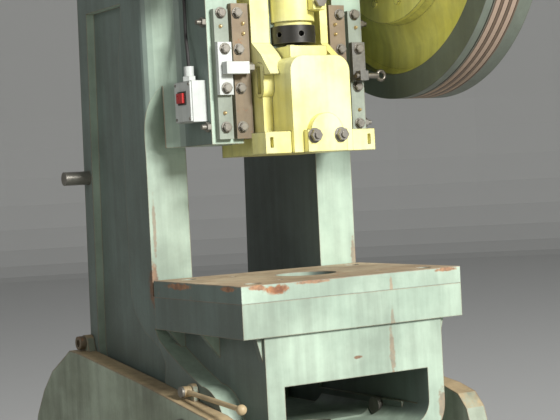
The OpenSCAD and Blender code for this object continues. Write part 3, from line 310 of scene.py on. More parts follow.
@dataclass(frozen=True)
class Finish:
    """A procedural finish: a coat over metal, with wear, rust and dirt."""

    name: str
    colour: Rgb
    second: Rgb
    under: Metal = Metal.CAST
    metallic: float = 0.0
    roughness: float = 0.5
    wear: float = 0.5
    wear_radius: float = 0.001
    rust: float = 0.2
    rust_scale: float = 9.0
    rust_colour: Rgb = (112, 70, 44)
    rust_light: Rgb = (158, 108, 70)
    dirt: float = 0.3
    dirt_colour: Rgb = (62, 58, 48)
    low: float = 0.0
    high: float = 1.6
    mottle: float = 5.0
    bump: float = 0.25
    bump_scale: float = 160.0
    seed: float = 0.0
    marks: tuple[Mark, ...] = ()

    GLOSS_SPREAD = 0.24  # share of the roughness that the fine noise varies
    SOILED = 0.22  # roughness that dirt and rust add
    DEPTH = 0.0012  # m, height of the relief
    ROUNDING = 0.6  # radius of the shaded edges to that of the wear

    def rusted(self, g: Graph, cover: Socket) -> Socket:
        """Adds the finish's marks to the scattered rust.

        Args:
            g: The material's graph.
            cover: Cover of the scattered rust.

        Returns:
            The whole cover.
        """
        for mark in self.marks:
            cover = g.maths("MAXIMUM", cover, mark.cover(g))
        return cover

    def coat(self, g: Graph) -> Socket:
        """Colour of the coat before wear and dirt."""
        patch = g.band(g.noise(g.place, self.mottle, 7.0, 0.6), 0.35, 0.68)
        return g.mix(patch, linear(self.colour), linear(self.second))

    def build(self) -> bpy.types.Material:
        """Makes the material.

        Returns:
            The finished material.
        """
        made = bpy.data.materials.get(self.name)
        if made is not None:
            return made
        material = bpy.data.materials.new(self.name)
        material.use_nodes = True
        material.node_tree.nodes.clear()
        g = Graph(material.node_tree)
        coat = self.coat(g)
        dirt = GRIME.use(g, Amount=self.dirt, Low=self.low, High=self.high, Seed=self.seed).outputs["Dirt"]
        wear = EDGE_WEAR.use(g, Radius=self.wear_radius, Amount=self.wear, Seed=self.seed).outputs["Wear"]
        rust = RUST.use(g, Cover=self.rust, Scale=self.rust_scale, Seed=self.seed)
        cover = self.rusted(g, rust.outputs["Cover"])
        rusty = g.mix(rust.outputs["Tone"], linear(self.rust_colour), linear(self.rust_light))
        worn = g.mix(wear, coat, linear(self.under.value))
        spotted = g.mix(cover, worn, rusty)
        colour = g.mix(dirt, spotted, linear(self.dirt_colour))
        fine = g.noise(g.place, self.bump_scale, 5.0, 0.6)
        soiled = g.maths("MAXIMUM", dirt, cover)
        varied = g.maths("MULTIPLY", fine, self.GLOSS_SPREAD)
        rough = g.maths("ADD", self.roughness - self.GLOSS_SPREAD / 2, varied)
        rough = g.maths("ADD", rough, g.maths("MULTIPLY", soiled, self.SOILED), True)
        metallic = g.maths("MULTIPLY", g.maths("SUBTRACT", 1.0, soiled), self.metallic)
        grain = g.maths("ADD", fine, g.noise(g.place, self.bump_scale / 9, 4.0, 0.5))
        relief = g.maths("SUBTRACT", grain, g.maths("MAXIMUM", wear, cover))
        edge = g.add("ShaderNodeBevel", {"Radius": self.wear_radius * self.ROUNDING}, samples=4).outputs[0]
        bump = g.add("ShaderNodeBump", {
            "Strength": self.bump, "Distance": self.DEPTH, "Height": relief, "Normal": edge})
        shader = g.add("ShaderNodeBsdfPrincipled", {
            "Base Color": colour, "Roughness": rough, "Metallic": metallic, "Normal": bump.outputs[0]})
        g.add("ShaderNodeOutputMaterial", {"Surface": shader.outputs[0]})
        return material


FRAME_MARKS = (
    Mark((100, 8, -190), (9, 14, 75), 0.55),
    Mark((99, 0, -118), (7, 14, 50), 0.45),
    Mark((2, 10, -189), (14, 14, 5), 0.9),
    Mark((-296, 442, -16), (12, 30, 75), 0.8),
    Mark((-289, 442, 130), (6, 22, 90), 0.55),
    Mark((296, 442, 20), (10, 26, 60), 0.6),
    Mark((240, 8, -330), (16, 16, 50), 0.6),
    Mark((-300, 700, -120), (14, 60, 90), 0.5),
)
PLATE_MARKS = (
    Mark((-212, 0, -14), (42, 18, 13), 1.0),
    Mark((-262, 0, -6), (26, 16, 8), 0.9),
    Mark((-120, 0, -4), (60, 12, 5), 0.8),
    Mark((99, 0, -40), (6, 10, 34), 0.5),
    Mark((262, 0, -5), (40, 14, 6), 0.9),
    Mark((-305, 60, -8), (14, 40, 8), 0.8),
    Mark((-305, 300, -10), (14, 70, 10), 0.8),
)


@dataclass(frozen=True)
class WheelFinish(Finish):
    """Flywheel paint: yellow web, green rim lands and the brown track of the belts."""

    rim: Rgb = (120, 130, 116)
    track: Rgb = (104, 84, 66)
    dish_radius: float = 0.360
    outer_radius: float = 0.423
    track_x: float = 0.306 + 0.064
    track_half: float = 0.040
    wobble: float = 0.006
    shade: float = 0.72

    def coat(self, g: Graph) -> Socket:
        """Colour by the distance from the shaft and along it.

        Args:
            g: The material's graph.

        Returns:
            The colour socket.
        """
        base = Finish.coat(self, g)
        axis = press(0, RAM_Y, CRANK_Z)
        parts = g.add("ShaderNodeSeparateXYZ", {0: g.place})
        dy = g.maths("SUBTRACT", parts.outputs["Y"], axis.y)
        dz = g.maths("SUBTRACT", parts.outputs["Z"], axis.z)
        squares = g.maths("ADD", g.maths("MULTIPLY", dy, dy), g.maths("MULTIPLY", dz, dz))
        radius = g.maths("SQRT", squares)
        wobble = g.maths("MULTIPLY", g.noise(g.place, 26.0, 4.0, 0.6), self.wobble)
        on_rim = g.band(g.maths("ADD", radius, wobble), self.dish_radius + 0.001, self.dish_radius + 0.004)
        shaded = linear([int(c * self.shade) for c in self.rim])
        green = g.mix(g.noise(g.place, 9.0), linear(self.rim), shaded)
        across = g.maths("ABSOLUTE", g.maths("SUBTRACT", parts.outputs["X"], self.track_x))
        belt = g.band(g.maths("ADD", across, wobble), self.track_half, self.track_half - 0.003)
        tread = g.maths("MULTIPLY", belt, g.band(radius, self.outer_radius - 0.02, self.outer_radius - 0.012))
        rim = g.mix(tread, green, linear(self.track))
        return g.mix(on_rim, base, rim)


@dataclass(frozen=True)
class FrameFinish(Finish):
    """Frame paint, pale on most faces, with painted shade that darkens the faces looking along X."""

    # painted shade: darker colours for the faces that look along X, which the key light from the front leaves in
    # shade
    side: Rgb = (112, 126, 118)
    side_shade_second: Rgb = (92, 105, 98)

    def shade_sides(self, g: Graph, front: Socket) -> Socket:
        """Paints shade on faces that look along X by turning them to the darker side colour.

        Args:
            g: The material's graph.
            front: Colour of the other faces.

        Returns:
            The colour socket.
        """
        normal = g.add("ShaderNodeNewGeometry").outputs["Normal"]
        across = g.maths("ABSOLUTE", g.add("ShaderNodeSeparateXYZ", {0: normal}).outputs["X"])
        side_shade_colour = g.mix(g.noise(g.place, 4.0, 7.0, 0.65), linear(self.side), linear(self.side_shade_second))
        # painted shade: faces that look left or right take the darker side colour
        return g.mix(g.band(across, 0.45, 0.9), front, side_shade_colour)

    def coat(self, g: Graph) -> Socket:
        """Paint with painted shade on the faces that look along X."""
        return self.shade_sides(g, Finish.coat(self, g))


@dataclass(frozen=True)
class LegFinish(Finish):
    """Leg paint, with a light tan on the top that is both undercoat worn bare by boots and sacks and painted sky
    light.
    """

    # light tan of the faces that look up: worn undercoat, lightened as painted sky light
    tread: Rgb = (186, 166, 128)
    wear_and_skylight_second: Rgb = (150, 128, 94)

    def coat(self, g: Graph) -> Socket:
        """Paint on the sides, and on faces that look up a light tan that is worn undercoat and painted sky light.

        Args:
            g: The material's graph.

        Returns:
            The colour socket.
        """
        normal = g.add("ShaderNodeNewGeometry").outputs["Normal"]
        up = g.add("ShaderNodeSeparateXYZ", {0: normal}).outputs["Z"]
        ragged = g.maths("ADD", up, g.maths("MULTIPLY", g.noise(g.place, 22.0, 6.0, 0.7), 0.9))
        worn = g.mix(g.noise(g.place, 14.0), linear(self.tread), linear(self.wear_and_skylight_second))
        # faces that look up take the tan: real wear and painted sky light together
        return g.mix(g.band(ragged, 0.95, 1.25), Finish.coat(self, g), worn)


@dataclass(frozen=True)
class PlateFinish(FrameFinish):
    """Bolster plate: bare rusty top and painted sides."""

    paint: Rgb = (178, 196, 176)
    paint_second: Rgb = (152, 170, 152)

    def top(self, g: Graph) -> Socket:
        """Share that belongs to the bare top.

        Args:
            g: The material's graph.

        Returns:
            1 on the top face and 0 on the sides.
        """
        height = g.add("ShaderNodeSeparateXYZ", {0: g.place}).outputs["Z"]
        ragged = g.maths("ADD", height, g.maths("MULTIPLY", g.noise(g.place, 30.0, 5.0, 0.7), 0.006))
        face = press(0, 0, 0).z
        return g.band(ragged, face + 0.0008, face + 0.0026)

    def rusted(self, g: Graph, cover: Socket) -> Socket:
        """Keeps the scattered rust on the top and adds the marks."""
        share = g.maths("ADD", self.top(g), 0.15)
        return Finish.rusted(self, g, g.maths("MULTIPLY", cover, share, True))

    def coat(self, g: Graph) -> Socket:
        """Bare metal on the top and paint on the sides, with painted shade where the sides look along X."""
        painted = Finish.coat(replace(self, colour=self.paint, second=self.paint_second), g)
        # painted shade on the plate's sides that look along X, as on the frame
        return g.mix(self.top(g), self.shade_sides(g, painted), Finish.coat(self, g))


class Palette:
    """Every finish of the press."""

    FRAME = FrameFinish(
        "frame_paint", (172, 190, 170), (150, 168, 150), Metal.PRIMER, roughness=0.42, wear=0.3, rust=0.16,
        dirt=0.42, low=0.4, high=1.9, seed=1.0, wear_radius=0.0045, marks=FRAME_MARKS)
    LEG = LegFinish(
        "leg_paint", (156, 166, 146), (130, 138, 118), Metal.PRIMER, roughness=0.55, wear=0.75, rust=0.26,
        dirt=0.55, low=0.0, high=0.9, seed=2.0, wear_radius=0.008)
    YELLOW = Finish(
        "slide_paint", (246, 242, 174), (234, 224, 130), roughness=0.38, rust=0.13, rust_colour=(84, 64, 38),
        rust_light=(140, 112, 54), dirt=0.35, low=0.9, high=1.9, seed=3.0, wear_radius=0.004)
    WHEEL = WheelFinish(
        "wheel_paint", (250, 247, 140), (238, 230, 110), roughness=0.4, wear=0.4, rust=0.12, dirt=0.4, low=1.2,
        high=2.2, seed=4.0, wear_radius=0.004)
    HUB = Finish(
        "hub_paint", (250, 247, 142), (238, 230, 110), roughness=0.4, wear=0.4, rust=0.14, dirt=0.35, low=1.2,
        high=2.2, seed=4.5, wear_radius=0.004)
    PLATE = PlateFinish(
        "bolster_plate", (200, 180, 146), (162, 138, 108), Metal.STEEL, roughness=0.6, rust=0.5, rust_scale=6.0,
        rust_colour=(118, 76, 52), rust_light=(188, 134, 92), dirt=0.35, low=0.7, high=1.0, seed=5.0, bump=0.3,
        marks=PLATE_MARKS, wear_radius=0.004)
    GIB = Finish(
        "gib_bronze", (140, 124, 98), (112, 96, 74), Metal.STEEL, metallic=0.2, rust=0.5, rust_scale=20.0,
        dirt=0.4, low=1.0, high=1.6, seed=6.0, wear_radius=0.002)
    GIB_PAINT = Finish(
        "gib_paint", (158, 168, 152), (122, 130, 116), Metal.STEEL, wear=0.6, rust=0.3, rust_scale=20.0,
        dirt=0.5, low=1.0, high=1.6, seed=6.5, wear_radius=0.002)
    BOLT = Finish(
        "bolt_steel", (150, 146, 136), (118, 112, 102), Metal.STEEL, metallic=0.75, roughness=0.38, wear=0.3,
        rust=0.3, rust_scale=45.0, dirt=0.35, seed=7.0)
    STEEL = Finish(
        "machined_steel", (160, 158, 152), (132, 130, 124), Metal.STEEL, metallic=0.85, roughness=0.32,
        wear=0.2, rust=0.16, rust_scale=24.0, low=1.0, high=2.0, seed=8.0, wear_radius=0.002)
    DARK = Finish(
        "oily_steel", (58, 56, 52), (44, 42, 38), Metal.STEEL, metallic=0.5, roughness=0.42, rust=0.25,
        rust_scale=22.0, seed=9.0, wear_radius=0.002)
    BRONZE = Finish(
        "bronze", (176, 136, 74), (150, 112, 58), Metal.STEEL, metallic=0.9, roughness=0.35, rust=0.1,
        rust_scale=30.0, seed=10.0, wear=0.45)
    ENAMEL = Finish(
        "switch_enamel", (206, 210, 204), (188, 192, 186), roughness=0.35, wear=0.3, rust=0.08, rust_scale=30.0,
        low=1.0, high=1.5, seed=11.0, wear_radius=0.0015)
    RED = Finish(
        "button_plastic", (186, 40, 38), (158, 30, 30), roughness=0.28, wear=0.1, rust=0.0, dirt=0.2, seed=12.0,
        bump=0.05)
    MOTOR = Finish(
        "motor_paint", (112, 122, 118), (94, 102, 98), roughness=0.45, wear=0.45, rust=0.15, dirt=0.5, low=1.4,
        high=2.0, seed=13.0, wear_radius=0.002)
    RUBBER = Finish(
        "rubber", (44, 42, 40), (34, 32, 30), roughness=0.7, wear=0.1, rust=0.0, dirt=0.4,
        dirt_colour=(86, 78, 66), seed=14.0)
    BELT = Finish(
        "belt_rubber", (82, 66, 52), (64, 52, 42), roughness=0.75, wear=0.2, rust=0.1, dirt=0.4,
        dirt_colour=(104, 88, 70), seed=15.0)
    LEVER = Finish(
        "lever_paint", (190, 168, 128), (160, 140, 106), Metal.STEEL, rust=0.35, rust_scale=24.0, seed=16.0)


NODE_FINISH: dict[str, Finish] = {node: finish for finish, nodes in (
    (Palette.FRAME, "frame bearing_cap_left bearing_cap_right motor_base"),
    (Palette.LEG, "left_leg right_leg"),
    (Palette.YELLOW, "slide ball_cap ball_cap_bolts die_clamp pitman pitman_cap"),
    (Palette.HUB, "hub_plate hub_bolts"),
    (Palette.WHEEL, "flywheel"),
    (Palette.PLATE, "bolster"),
    (Palette.GIB, "gib_inner_left gib_inner_right rest_pins"),
    (Palette.GIB_PAINT, "gib_outer_left gib_outer_right"),
    (Palette.BOLT, "gib_bolts gib_adjusters pivot_bolts incline_bolts clamp_studs pitman_bolts"),
    (Palette.BOLT, "knockout_rod brake_bolt lever_stud lifting_studs"),
    (Palette.STEEL, "crankshaft brake_drum clutch_collar end_collar clutch_latch"),
    (Palette.STEEL, "solenoid_plunger knockout_bracket_right"),
    (Palette.DARK, "bolster_bolts cap_bolts brake_band brake_spring latch_stud trip_solenoid"),
    (Palette.DARK, "adjusting_screw motor_pulley front_tie_rod rear_tie_rod"),
    (Palette.BRONZE, "main_bush_left main_bush_right flywheel_bush"),
    (Palette.ENAMEL, "switch_box cable_gland knockout_bracket_left"),
    (Palette.RED, "switch_button"),
    (Palette.MOTOR, "motor"),
    (Palette.RUBBER, "switch_cable"),
    (Palette.BELT, "drive_belts"),
    (Palette.LEVER, "hand_lever"),
) for node in nodes.split()}


class Castings:
    """Gives the CAD's own nodes their finishes."""

    def dress(self) -> None:
        """Puts one finish on every CAD node."""
        for name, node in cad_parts.items():
            finish = NODE_FINISH.get(name, Palette.DARK)
            node.data.materials.clear()
            node.data.materials.append(finish.build())
            LOG.info("node %s wears %s", name, finish.name)


def add_object(name: str, data: bpy.types.ID) -> Object:
    """Adds an object to the scene.

    Args:
        name: Its name.
        data: Its mesh, light or camera.

    Returns:
        The new object.
    """
    made = bpy.data.objects.new(name, data)
    bpy.context.scene.collection.objects.link(made)
    return made


def evaluate(mesh: Mesh, tree: Tree, values: dict[str, object]) -> Mesh:
    """Runs a geometry tree over a mesh and keeps the result.

    Args:
        mesh: The mesh that the tree starts from.
        tree: The geometry tree.
        values: Name of each of the tree's inputs to its value.

    Returns:
        The new mesh.
    """
    carrier = add_object("carrier", mesh)
    modifier = carrier.modifiers.new("tree", "NODES")
    modifier.node_group = tree
    for item in tree.interface.items_tree:
        if item.in_out == "INPUT" and item.name in values:
            modifier[item.identifier] = values[item.name]
    carrier.update_tag()
    graph = bpy.context.evaluated_depsgraph_get()
    made = bpy.data.meshes.new_from_object(carrier.evaluated_get(graph))
    carrier.modifiers.remove(modifier)
    bpy.data.objects.remove(carrier)
    return made


class GeometryTree:
    """A geometry node tree with named inputs."""

    def __init__(self, name: str, inputs: dict[str, tuple[str, object]]) -> None:
        """Makes the tree and its sockets.

        Args:
            name: The tree's name.
            inputs: Name of each input to its socket type and first value.
        """
        self.tree = bpy.data.node_groups.new(name, "GeometryNodeTree")
        self.tree.interface.new_socket("Geometry", in_out="INPUT", socket_type="NodeSocketGeometry")
        for key, (kind, value) in inputs.items():
            socket = self.tree.interface.new_socket(key, in_out="INPUT", socket_type=kind)
            if value is not None:
                socket.default_value = value
        self.tree.interface.new_socket("Geometry", in_out="OUTPUT", socket_type="NodeSocketGeometry")
        self.graph = Graph(self.tree)
        self.start = self.graph.add("NodeGroupInput").outputs
        self.end = self.graph.add("NodeGroupOutput").inputs

    def close(self, geometry: Socket) -> Tree:
        """Ends the tree with realized instances and its material.

        Args:
            geometry: The geometry before these last nodes.

        Returns:
            The finished tree.
        """
        real = self.graph.add("GeometryNodeRealizeInstances", {0: geometry})
        painted = self.graph.add(
            "GeometryNodeSetMaterial", {"Geometry": real.outputs[0], "Material": self.start["Finish"]})
        self.graph.feed(self.end[0], painted.outputs[0])
        return self.tree


def sweep_tree() -> Tree:
    """Makes the tree that draws a round bar along a path.

    Returns:
        The tree, with Radius, Sides and Finish as inputs.
    """
    made = GeometryTree("Round bar on a path", {
        "Radius": ("NodeSocketFloat", 0.004), "Sides": ("NodeSocketInt", 12),
        "Finish": ("NodeSocketMaterial", None)})
    g = made.graph
    path = g.add("GeometryNodeMeshToCurve", {"Mesh": made.start["Geometry"]})
    ring = g.add("GeometryNodeCurvePrimitiveCircle", {
        "Resolution": made.start["Sides"], "Radius": made.start["Radius"]})
    bar = g.add("GeometryNodeCurveToMesh", {
        "Curve": path.outputs[0], "Profile Curve": ring.outputs[0], "Fill Caps": True})
    smooth = g.add("GeometryNodeSetShadeSmooth", {"Geometry": bar.outputs[0]})
    return made.close(smooth.outputs[0])


def scatter_tree() -> Tree:
    """Makes the tree that sets a small piece on each point, facing the point's aim.

    Returns:
        The tree, with Piece, Turn, Seed and Finish as inputs.
    """
    made = GeometryTree("Piece on each point", {
        "Piece": ("NodeSocketObject", None), "Turn": ("NodeSocketFloat", 0.0), "Seed": ("NodeSocketInt", 7),
        "Finish": ("NodeSocketMaterial", None)})
    g = made.graph
    piece = g.add("GeometryNodeObjectInfo", {"Object": made.start["Piece"]})
    aim = g.add("GeometryNodeInputNamedAttribute", {"Name": "aim"}, data_type="FLOAT_VECTOR")
    facing = g.add("FunctionNodeAlignRotationToVector", {"Vector": aim.outputs[0]}, axis="Z")
    placed = g.add("GeometryNodeInstanceOnPoints", {
        "Points": made.start["Geometry"], "Instance": piece.outputs["Geometry"], "Rotation": facing.outputs[0]})
    low = g.maths("MULTIPLY", made.start["Turn"], -1.0)
    spin = g.add("FunctionNodeRandomValue", data_type="FLOAT")
    numbers = [i for i in spin.inputs if i.type == "VALUE"]
    g.feed(numbers[0], low)
    g.feed(numbers[1], made.start["Turn"])
    g.feed(spin.inputs["Seed"], made.start["Seed"])
    chance = [o for o in spin.outputs if o.type == "VALUE"][0]
    around = g.add("ShaderNodeCombineXYZ", {"Z": chance})
    turned = g.add("GeometryNodeRotateInstances", {"Instances": placed.outputs[0], "Rotation": around.outputs[0]})
    return made.close(turned.outputs[0])


SWEEP = sweep_tree()
SCATTER = scatter_tree()


class Pieces:
    """Base of the classes that add visual pieces."""

    body = "frame"

    def show(self, mesh: Mesh, name: str, finish: Finish, body: Optional[str] = None) -> Object:
        """Adds a mesh to the scene, finished and riding on a body.

        Args:
            mesh: The mesh, already in the row frame.
            name: The piece's name.
            finish: What it wears.
            body: The CAD body that carries it, or None for the class's own.

        Returns:
            The piece's object.
        """
        if not mesh.materials:
            mesh.materials.append(finish.build())
        piece = add_object(name, mesh)
        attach(piece, body or self.body)
        LOG.info("piece %s: %d faces on %s", name, len(mesh.polygons), body or self.body)
        return piece

    def bar(self, points: Sequence[Vector], radius: float, name: str, finish: Finish, sides: int = 12,
            body: Optional[str] = None) -> Object:
        """Adds a round bar along a line of points.

        Args:
            points: The line, in the row frame.
            radius: The bar's radius in metres.
            name: The piece's name.
            finish: What it wears.
            sides: Number of sides.
            body: The CAD body that carries it.

        Returns:
            The piece's object.
        """
        line = bpy.data.meshes.new("line")
        line.from_pydata([tuple(p) for p in points], [(i, i + 1) for i in range(len(points) - 1)], [])
        mesh = evaluate(line, SWEEP, {"Radius": radius, "Sides": sides, "Finish": finish.build()})
        return self.show(mesh, name, finish, body)

    def scatter(self, piece: Mesh, spots: Sequence[Spot], name: str, finish: Finish,
                turn: float = 0.0, seed: int = 7, body: Optional[str] = None) -> None:
        """Sets one small piece on each spot.

        Args:
            piece: The piece's mesh, standing on the origin along +Z.
            spots: Place and outward direction of each.
            name: The name of the whole.
            finish: What they wear.
            turn: Largest random turn about the outward direction, in radians.
            seed: Seed of the turns.
            body: The CAD body that carries them.
        """
        points = bpy.data.meshes.new("points")
        points.from_pydata([tuple(p) for p, _ in spots], [], [])
        aim = points.attributes.new("aim", "FLOAT_VECTOR", "POINT")
        aim.data.foreach_set("vector", [c for _, a in spots for c in a])
        sample = add_object("sample", piece)
        mesh = evaluate(points, SCATTER, {"Piece": sample, "Turn": turn, "Seed": seed, "Finish": finish.build()})
        bpy.data.objects.remove(sample)
        self.show(mesh, name, finish, body)


def smooth_line(points: Sequence[Vector], steps: int) -> list[Vector]:
    """Draws a smooth curve through points.

    Args:
        points: The points that the curve passes.
        steps: Number of steps between two points.

    Returns:
        The curve's points.
    """
    line: list[Vector] = []
    for i in range(len(points) - 1):
        a, b = points[max(0, i - 1)], points[i]
        c, d = points[i + 1], points[min(len(points) - 1, i + 2)]
        for k in range(steps):
            t = k / steps
            square, cube = 2 * a - 5 * b + 4 * c - d, 3 * b - a - 3 * c + d
            line.append(0.5 * (2 * b + (c - a) * t + square * t**2 + cube * t**3))
    line.append(points[-1])
    return line


@dataclass
class Fasteners(Pieces):
    """Washers and the turned faces of the bolt heads.

    A washer is its outer radius, its bore radius and its thickness, and a face is its radius and
    the height of the head under it, all in metres. Places are in press measures.
    """

    gib_washer: Sizes = (0.0138, 0.0065, 0.0022)
    cap_washer: Sizes = (0.0190, 0.0095, 0.003)
    rod_washer: Sizes = (0.0170, 0.0085, 0.0028)
    clamp_washer: Sizes = (0.0180, 0.0085, 0.0028)
    gib_face: Sizes = (0.0096, 0.0100)
    cap_face: Sizes = (0.0148, 0.013)
    levels: Sizes = (632.0, 546.0, 453.0, 361.0)
    outer_x: float = 191.0
    inner_x: float = 146.0
    bracket: float = 12.0
    cap_x: Sizes = (134, 200)
    cap_y: Sizes = (-82, 82)
    cap_z: float = 873.0
    rod_x: float = 38
    rod_y: Sizes = (108, -108)
    rod_z: float = 898.0
    clamp: Point = (37, 85, 330)

    def gib_spots(self) -> list[Spot]:
        """Seats of the gib bolts.

        Returns:
            Place and outward direction of each seat.
        """
        spots = []
        for side in SIDES:
            for i, z in enumerate(self.levels):
                raised = self.bracket if (side < 0 and i in (1, 2)) or (side > 0 and i == 1) else 0
                spots.append((press(side * self.outer_x, GIB_Y - raised, z), FRONT))
                spots.append((press(side * self.inner_x, GIB_Y, z), FRONT))
        return spots

    def washer(self, outer: float, inner: float, thick: float) -> Mesh:
        """Makes a washer with a chamfered rim on the origin."""
        c = thick * 0.25
        return lathe([(inner, 0.0), (outer, 0.0), (outer, thick - c), (outer - c, thick), (inner, thick)], 32)

    def face(self, radius: float, top: float) -> Mesh:
        """Makes the turned face of a bolt head, a low cone on top of the hexagon."""
        foot, crest = top - 0.001, top + 0.0011
        return lathe([(TIP, foot), (radius, foot), (radius, top), (radius * 0.86, crest), (TIP, crest)], 24)

    def build(self) -> None:
        """Adds all washers and faces."""
        gib = self.gib_spots()
        self.scatter(self.washer(*self.gib_washer), gib, "gib_washers", Palette.BOLT)
        self.scatter(self.face(*self.gib_face), gib, "gib_bolt_faces", Palette.BOLT)
        caps = [(press(side * x, RAM_Y + y, self.cap_z), UP)
                for side in SIDES for y in self.cap_y for x in self.cap_x]
        self.scatter(self.washer(*self.cap_washer), caps, "cap_washers", Palette.DARK)
        self.scatter(self.face(*self.cap_face), caps, "cap_bolt_faces", Palette.DARK)
        rod = [(press(side * self.rod_x, RAM_Y + y, self.rod_z), UP) for side in SIDES for y in self.rod_y]
        self.scatter(self.washer(*self.rod_washer), rod, "rod_washers", Palette.BOLT, body="connecting_rod")
        studs = [(mirrored(self.clamp, side), FRONT) for side in SIDES]
        self.scatter(self.washer(*self.clamp_washer), studs, "clamp_washers", Palette.BOLT, body="ram")


@dataclass
class Threads(Pieces):
    """Thread turns on the free ends of studs and rods."""

    pitch: float = 0.0022
    bead: float = 0.30
    per_turn: int = 18
    clamp: Point = (37, 70.5, 330)
    pivot: Point = (387, RAM_Y, -345)
    ties: tuple[tuple[str, Point], ...] = (("front", (376.5, 40, -520)), ("rear", (376.5, 1060, -560)))

    def turn(self, start: Vector, axis: Vector, length: float, radius: float, name: str, body: str) -> None:
        """Adds one thread.

        Args:
            start: Middle of the thread's inner end.
            axis: Direction of the stud.
            length: Length of the thread.
            radius: Radius of the stud.
            name: The piece's name.
            body: The CAD body that carries it.
        """
        side = axis.orthogonal().normalized()
        other = axis.cross(side)
        steps = max(12, int(length / self.pitch * self.per_turn))
        points = []
        for i in range(steps + 1):
            a = 2 * math.pi * i / self.per_turn
            around = side * math.cos(a) + other * math.sin(a)
            points.append(start + axis * (length * i / steps) + around * radius)
        self.bar(points, self.pitch * self.bead, name, Palette.BOLT, 4, body)

    def build(self) -> None:
        """Adds the threads of the clamp studs, pivot bolts and tie rods."""
        for side, word in ((-1, "left"), (1, "right")):
            out = Vector((side, 0, 0))
            self.turn(mirrored(self.clamp, side), FRONT, 0.0035, 0.0078, f"clamp_thread_{word}", "ram")
            self.turn(mirrored(self.pivot, side), out, 0.0045, 0.0178, f"pivot_thread_{word}", "stand")
            for end, place in self.ties:
                self.turn(mirrored(place, side), out, 0.003, 0.0158, f"tie_thread_{end}_{word}", "stand")


@dataclass
class Electrics(Pieces):
    """Switch cable, lid screws and the button's collar."""

    way: tuple[Point, ...] = (
        (-243.5, 303, 511), (-243, 306, 545), (-236, 324, 590), (-231, 332, 650), (-231, 336, 722),
        (-235, 352, 764), (-240, 410, 769), (-240, 520, 769), (-236, 640, 769), (-226, 712, 800),
        (-200, 742, 880), (-196, 760, 980), (-160, 784, 1056), (-80, 790, 1064), (-20, 790, 1062))
    cable_radius: float = 0.004
    screw: Profile = ((TIP, 0.0), (0.0035, 0.0), (0.0035, 0.0012), (0.0025, 0.0019), (TIP, 0.0019))
    lid_x: float = -265.0
    lid_y: Sizes = (270, 336)
    lid_z: Sizes = (386, 468)
    button: Sizes = (288.0, 318.0, 424.0, 448.0)

    def build(self) -> None:
        """Adds the pieces of the switch."""
        points = smooth_line([press(*p) for p in self.way], 10)
        cable = self.bar(points, self.cable_radius, "switch_cable_smooth", Palette.RUBBER, 14)
        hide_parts("switch_cable")
        left = Vector((-1, 0, 0))
        corners = [(press(self.lid_x, y, z), left) for y in self.lid_y for z in self.lid_z]
        self.scatter(lathe(self.screw, 20), corners, "lid_screws", Palette.BOLT, turn=1.5, seed=3)
        self.show(self.collar(), "button_collar", Palette.DARK)

    def collar(self) -> Mesh:
        """Makes the square collar round the button.

        Returns:
            The mesh.
        """
        mesh = bpy.data.meshes.new("collar")
        build = bmesh.new()
        outer, inner = 4.0, 0.6
        root, rim = self.lid_x + 0.5, self.lid_x - 3.0
        loops = []
        for grow, x in ((inner, root), (inner, rim), (outer, rim), (outer, root)):
            y0, y1, z0, z1 = (edge + way * grow for edge, way in zip(self.button, (-1, 1, -1, 1)))
            loops.append([build.verts.new(press(x, y, z)) for y, z in ((y0, z0), (y1, z0), (y1, z1), (y0, z1))])
        for a, b in zip(loops, loops[1:]):
            for k in range(4):
                build.faces.new((a[k], a[(k + 1) % 4], b[(k + 1) % 4], b[k]))
        bmesh.ops.recalc_face_normals(build, faces=build.faces)
        build.to_mesh(mesh)
        build.free()
        return mesh


@dataclass
class Springs(Pieces):
    """The brake spring as a real coil."""

    coil: float = 0.0100
    wire: float = 0.0026
    length: float = 0.0398
    turns: float = 7.0
    per_turn: int = 20
    foot: Point = (-272, 353, 863)

    def build(self) -> None:
        """Adds the coil in place of the CAD's closed rings."""
        foot = press(*self.foot)
        count = int(self.turns * self.per_turn)
        points = []
        for i in range(count + 1):
            a = 2 * math.pi * i / self.per_turn
            rise = self.wire + (self.length - 2 * self.wire) * i / count
            points.append(foot + Vector((self.coil * math.cos(a), self.coil * math.sin(a), rise)))
        coil = self.bar(points, self.wire, "brake_coil", Palette.DARK, 10)
        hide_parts("brake_spring")


@dataclass
class Oiling(Pieces):
    """Oil cups on the bearing caps and nipples in the gib bars."""

    cup: Profile = (
        (TIP, -0.006), (0.0048, -0.006), (0.0048, 0.004), (0.011, 0.006), (0.011, 0.020), (0.0095, 0.024),
        (0.005, 0.027), (TIP, 0.028))
    nipple: Profile = (
        (TIP, -0.004), (0.0038, -0.004), (0.0045, 0.0), (0.0045, 0.0015), (0.0026, 0.003), (0.0026, 0.005),
        (0.0032, 0.0062), (0.0020, 0.0076), (TIP, 0.0078))
    cap: Point = (167, RAM_Y, 935)
    rows: tuple[tuple[float, Sizes], ...] = ((193, (600, 395)), (132, (607, 583)))

    def build(self) -> None:
        """Adds the cups and the nipples."""
        caps = [(mirrored(self.cap, side), UP) for side in SIDES]
        self.scatter(lathe(self.cup, 28), caps, "oil_cups", Palette.BRONZE)
        spots = [(press(side * x, GIB_Y, z), FRONT) for x, levels in self.rows for side in SIDES for z in levels]
        self.scatter(lathe(self.nipple, 18), spots, "grease_nipples", Palette.BRONZE)


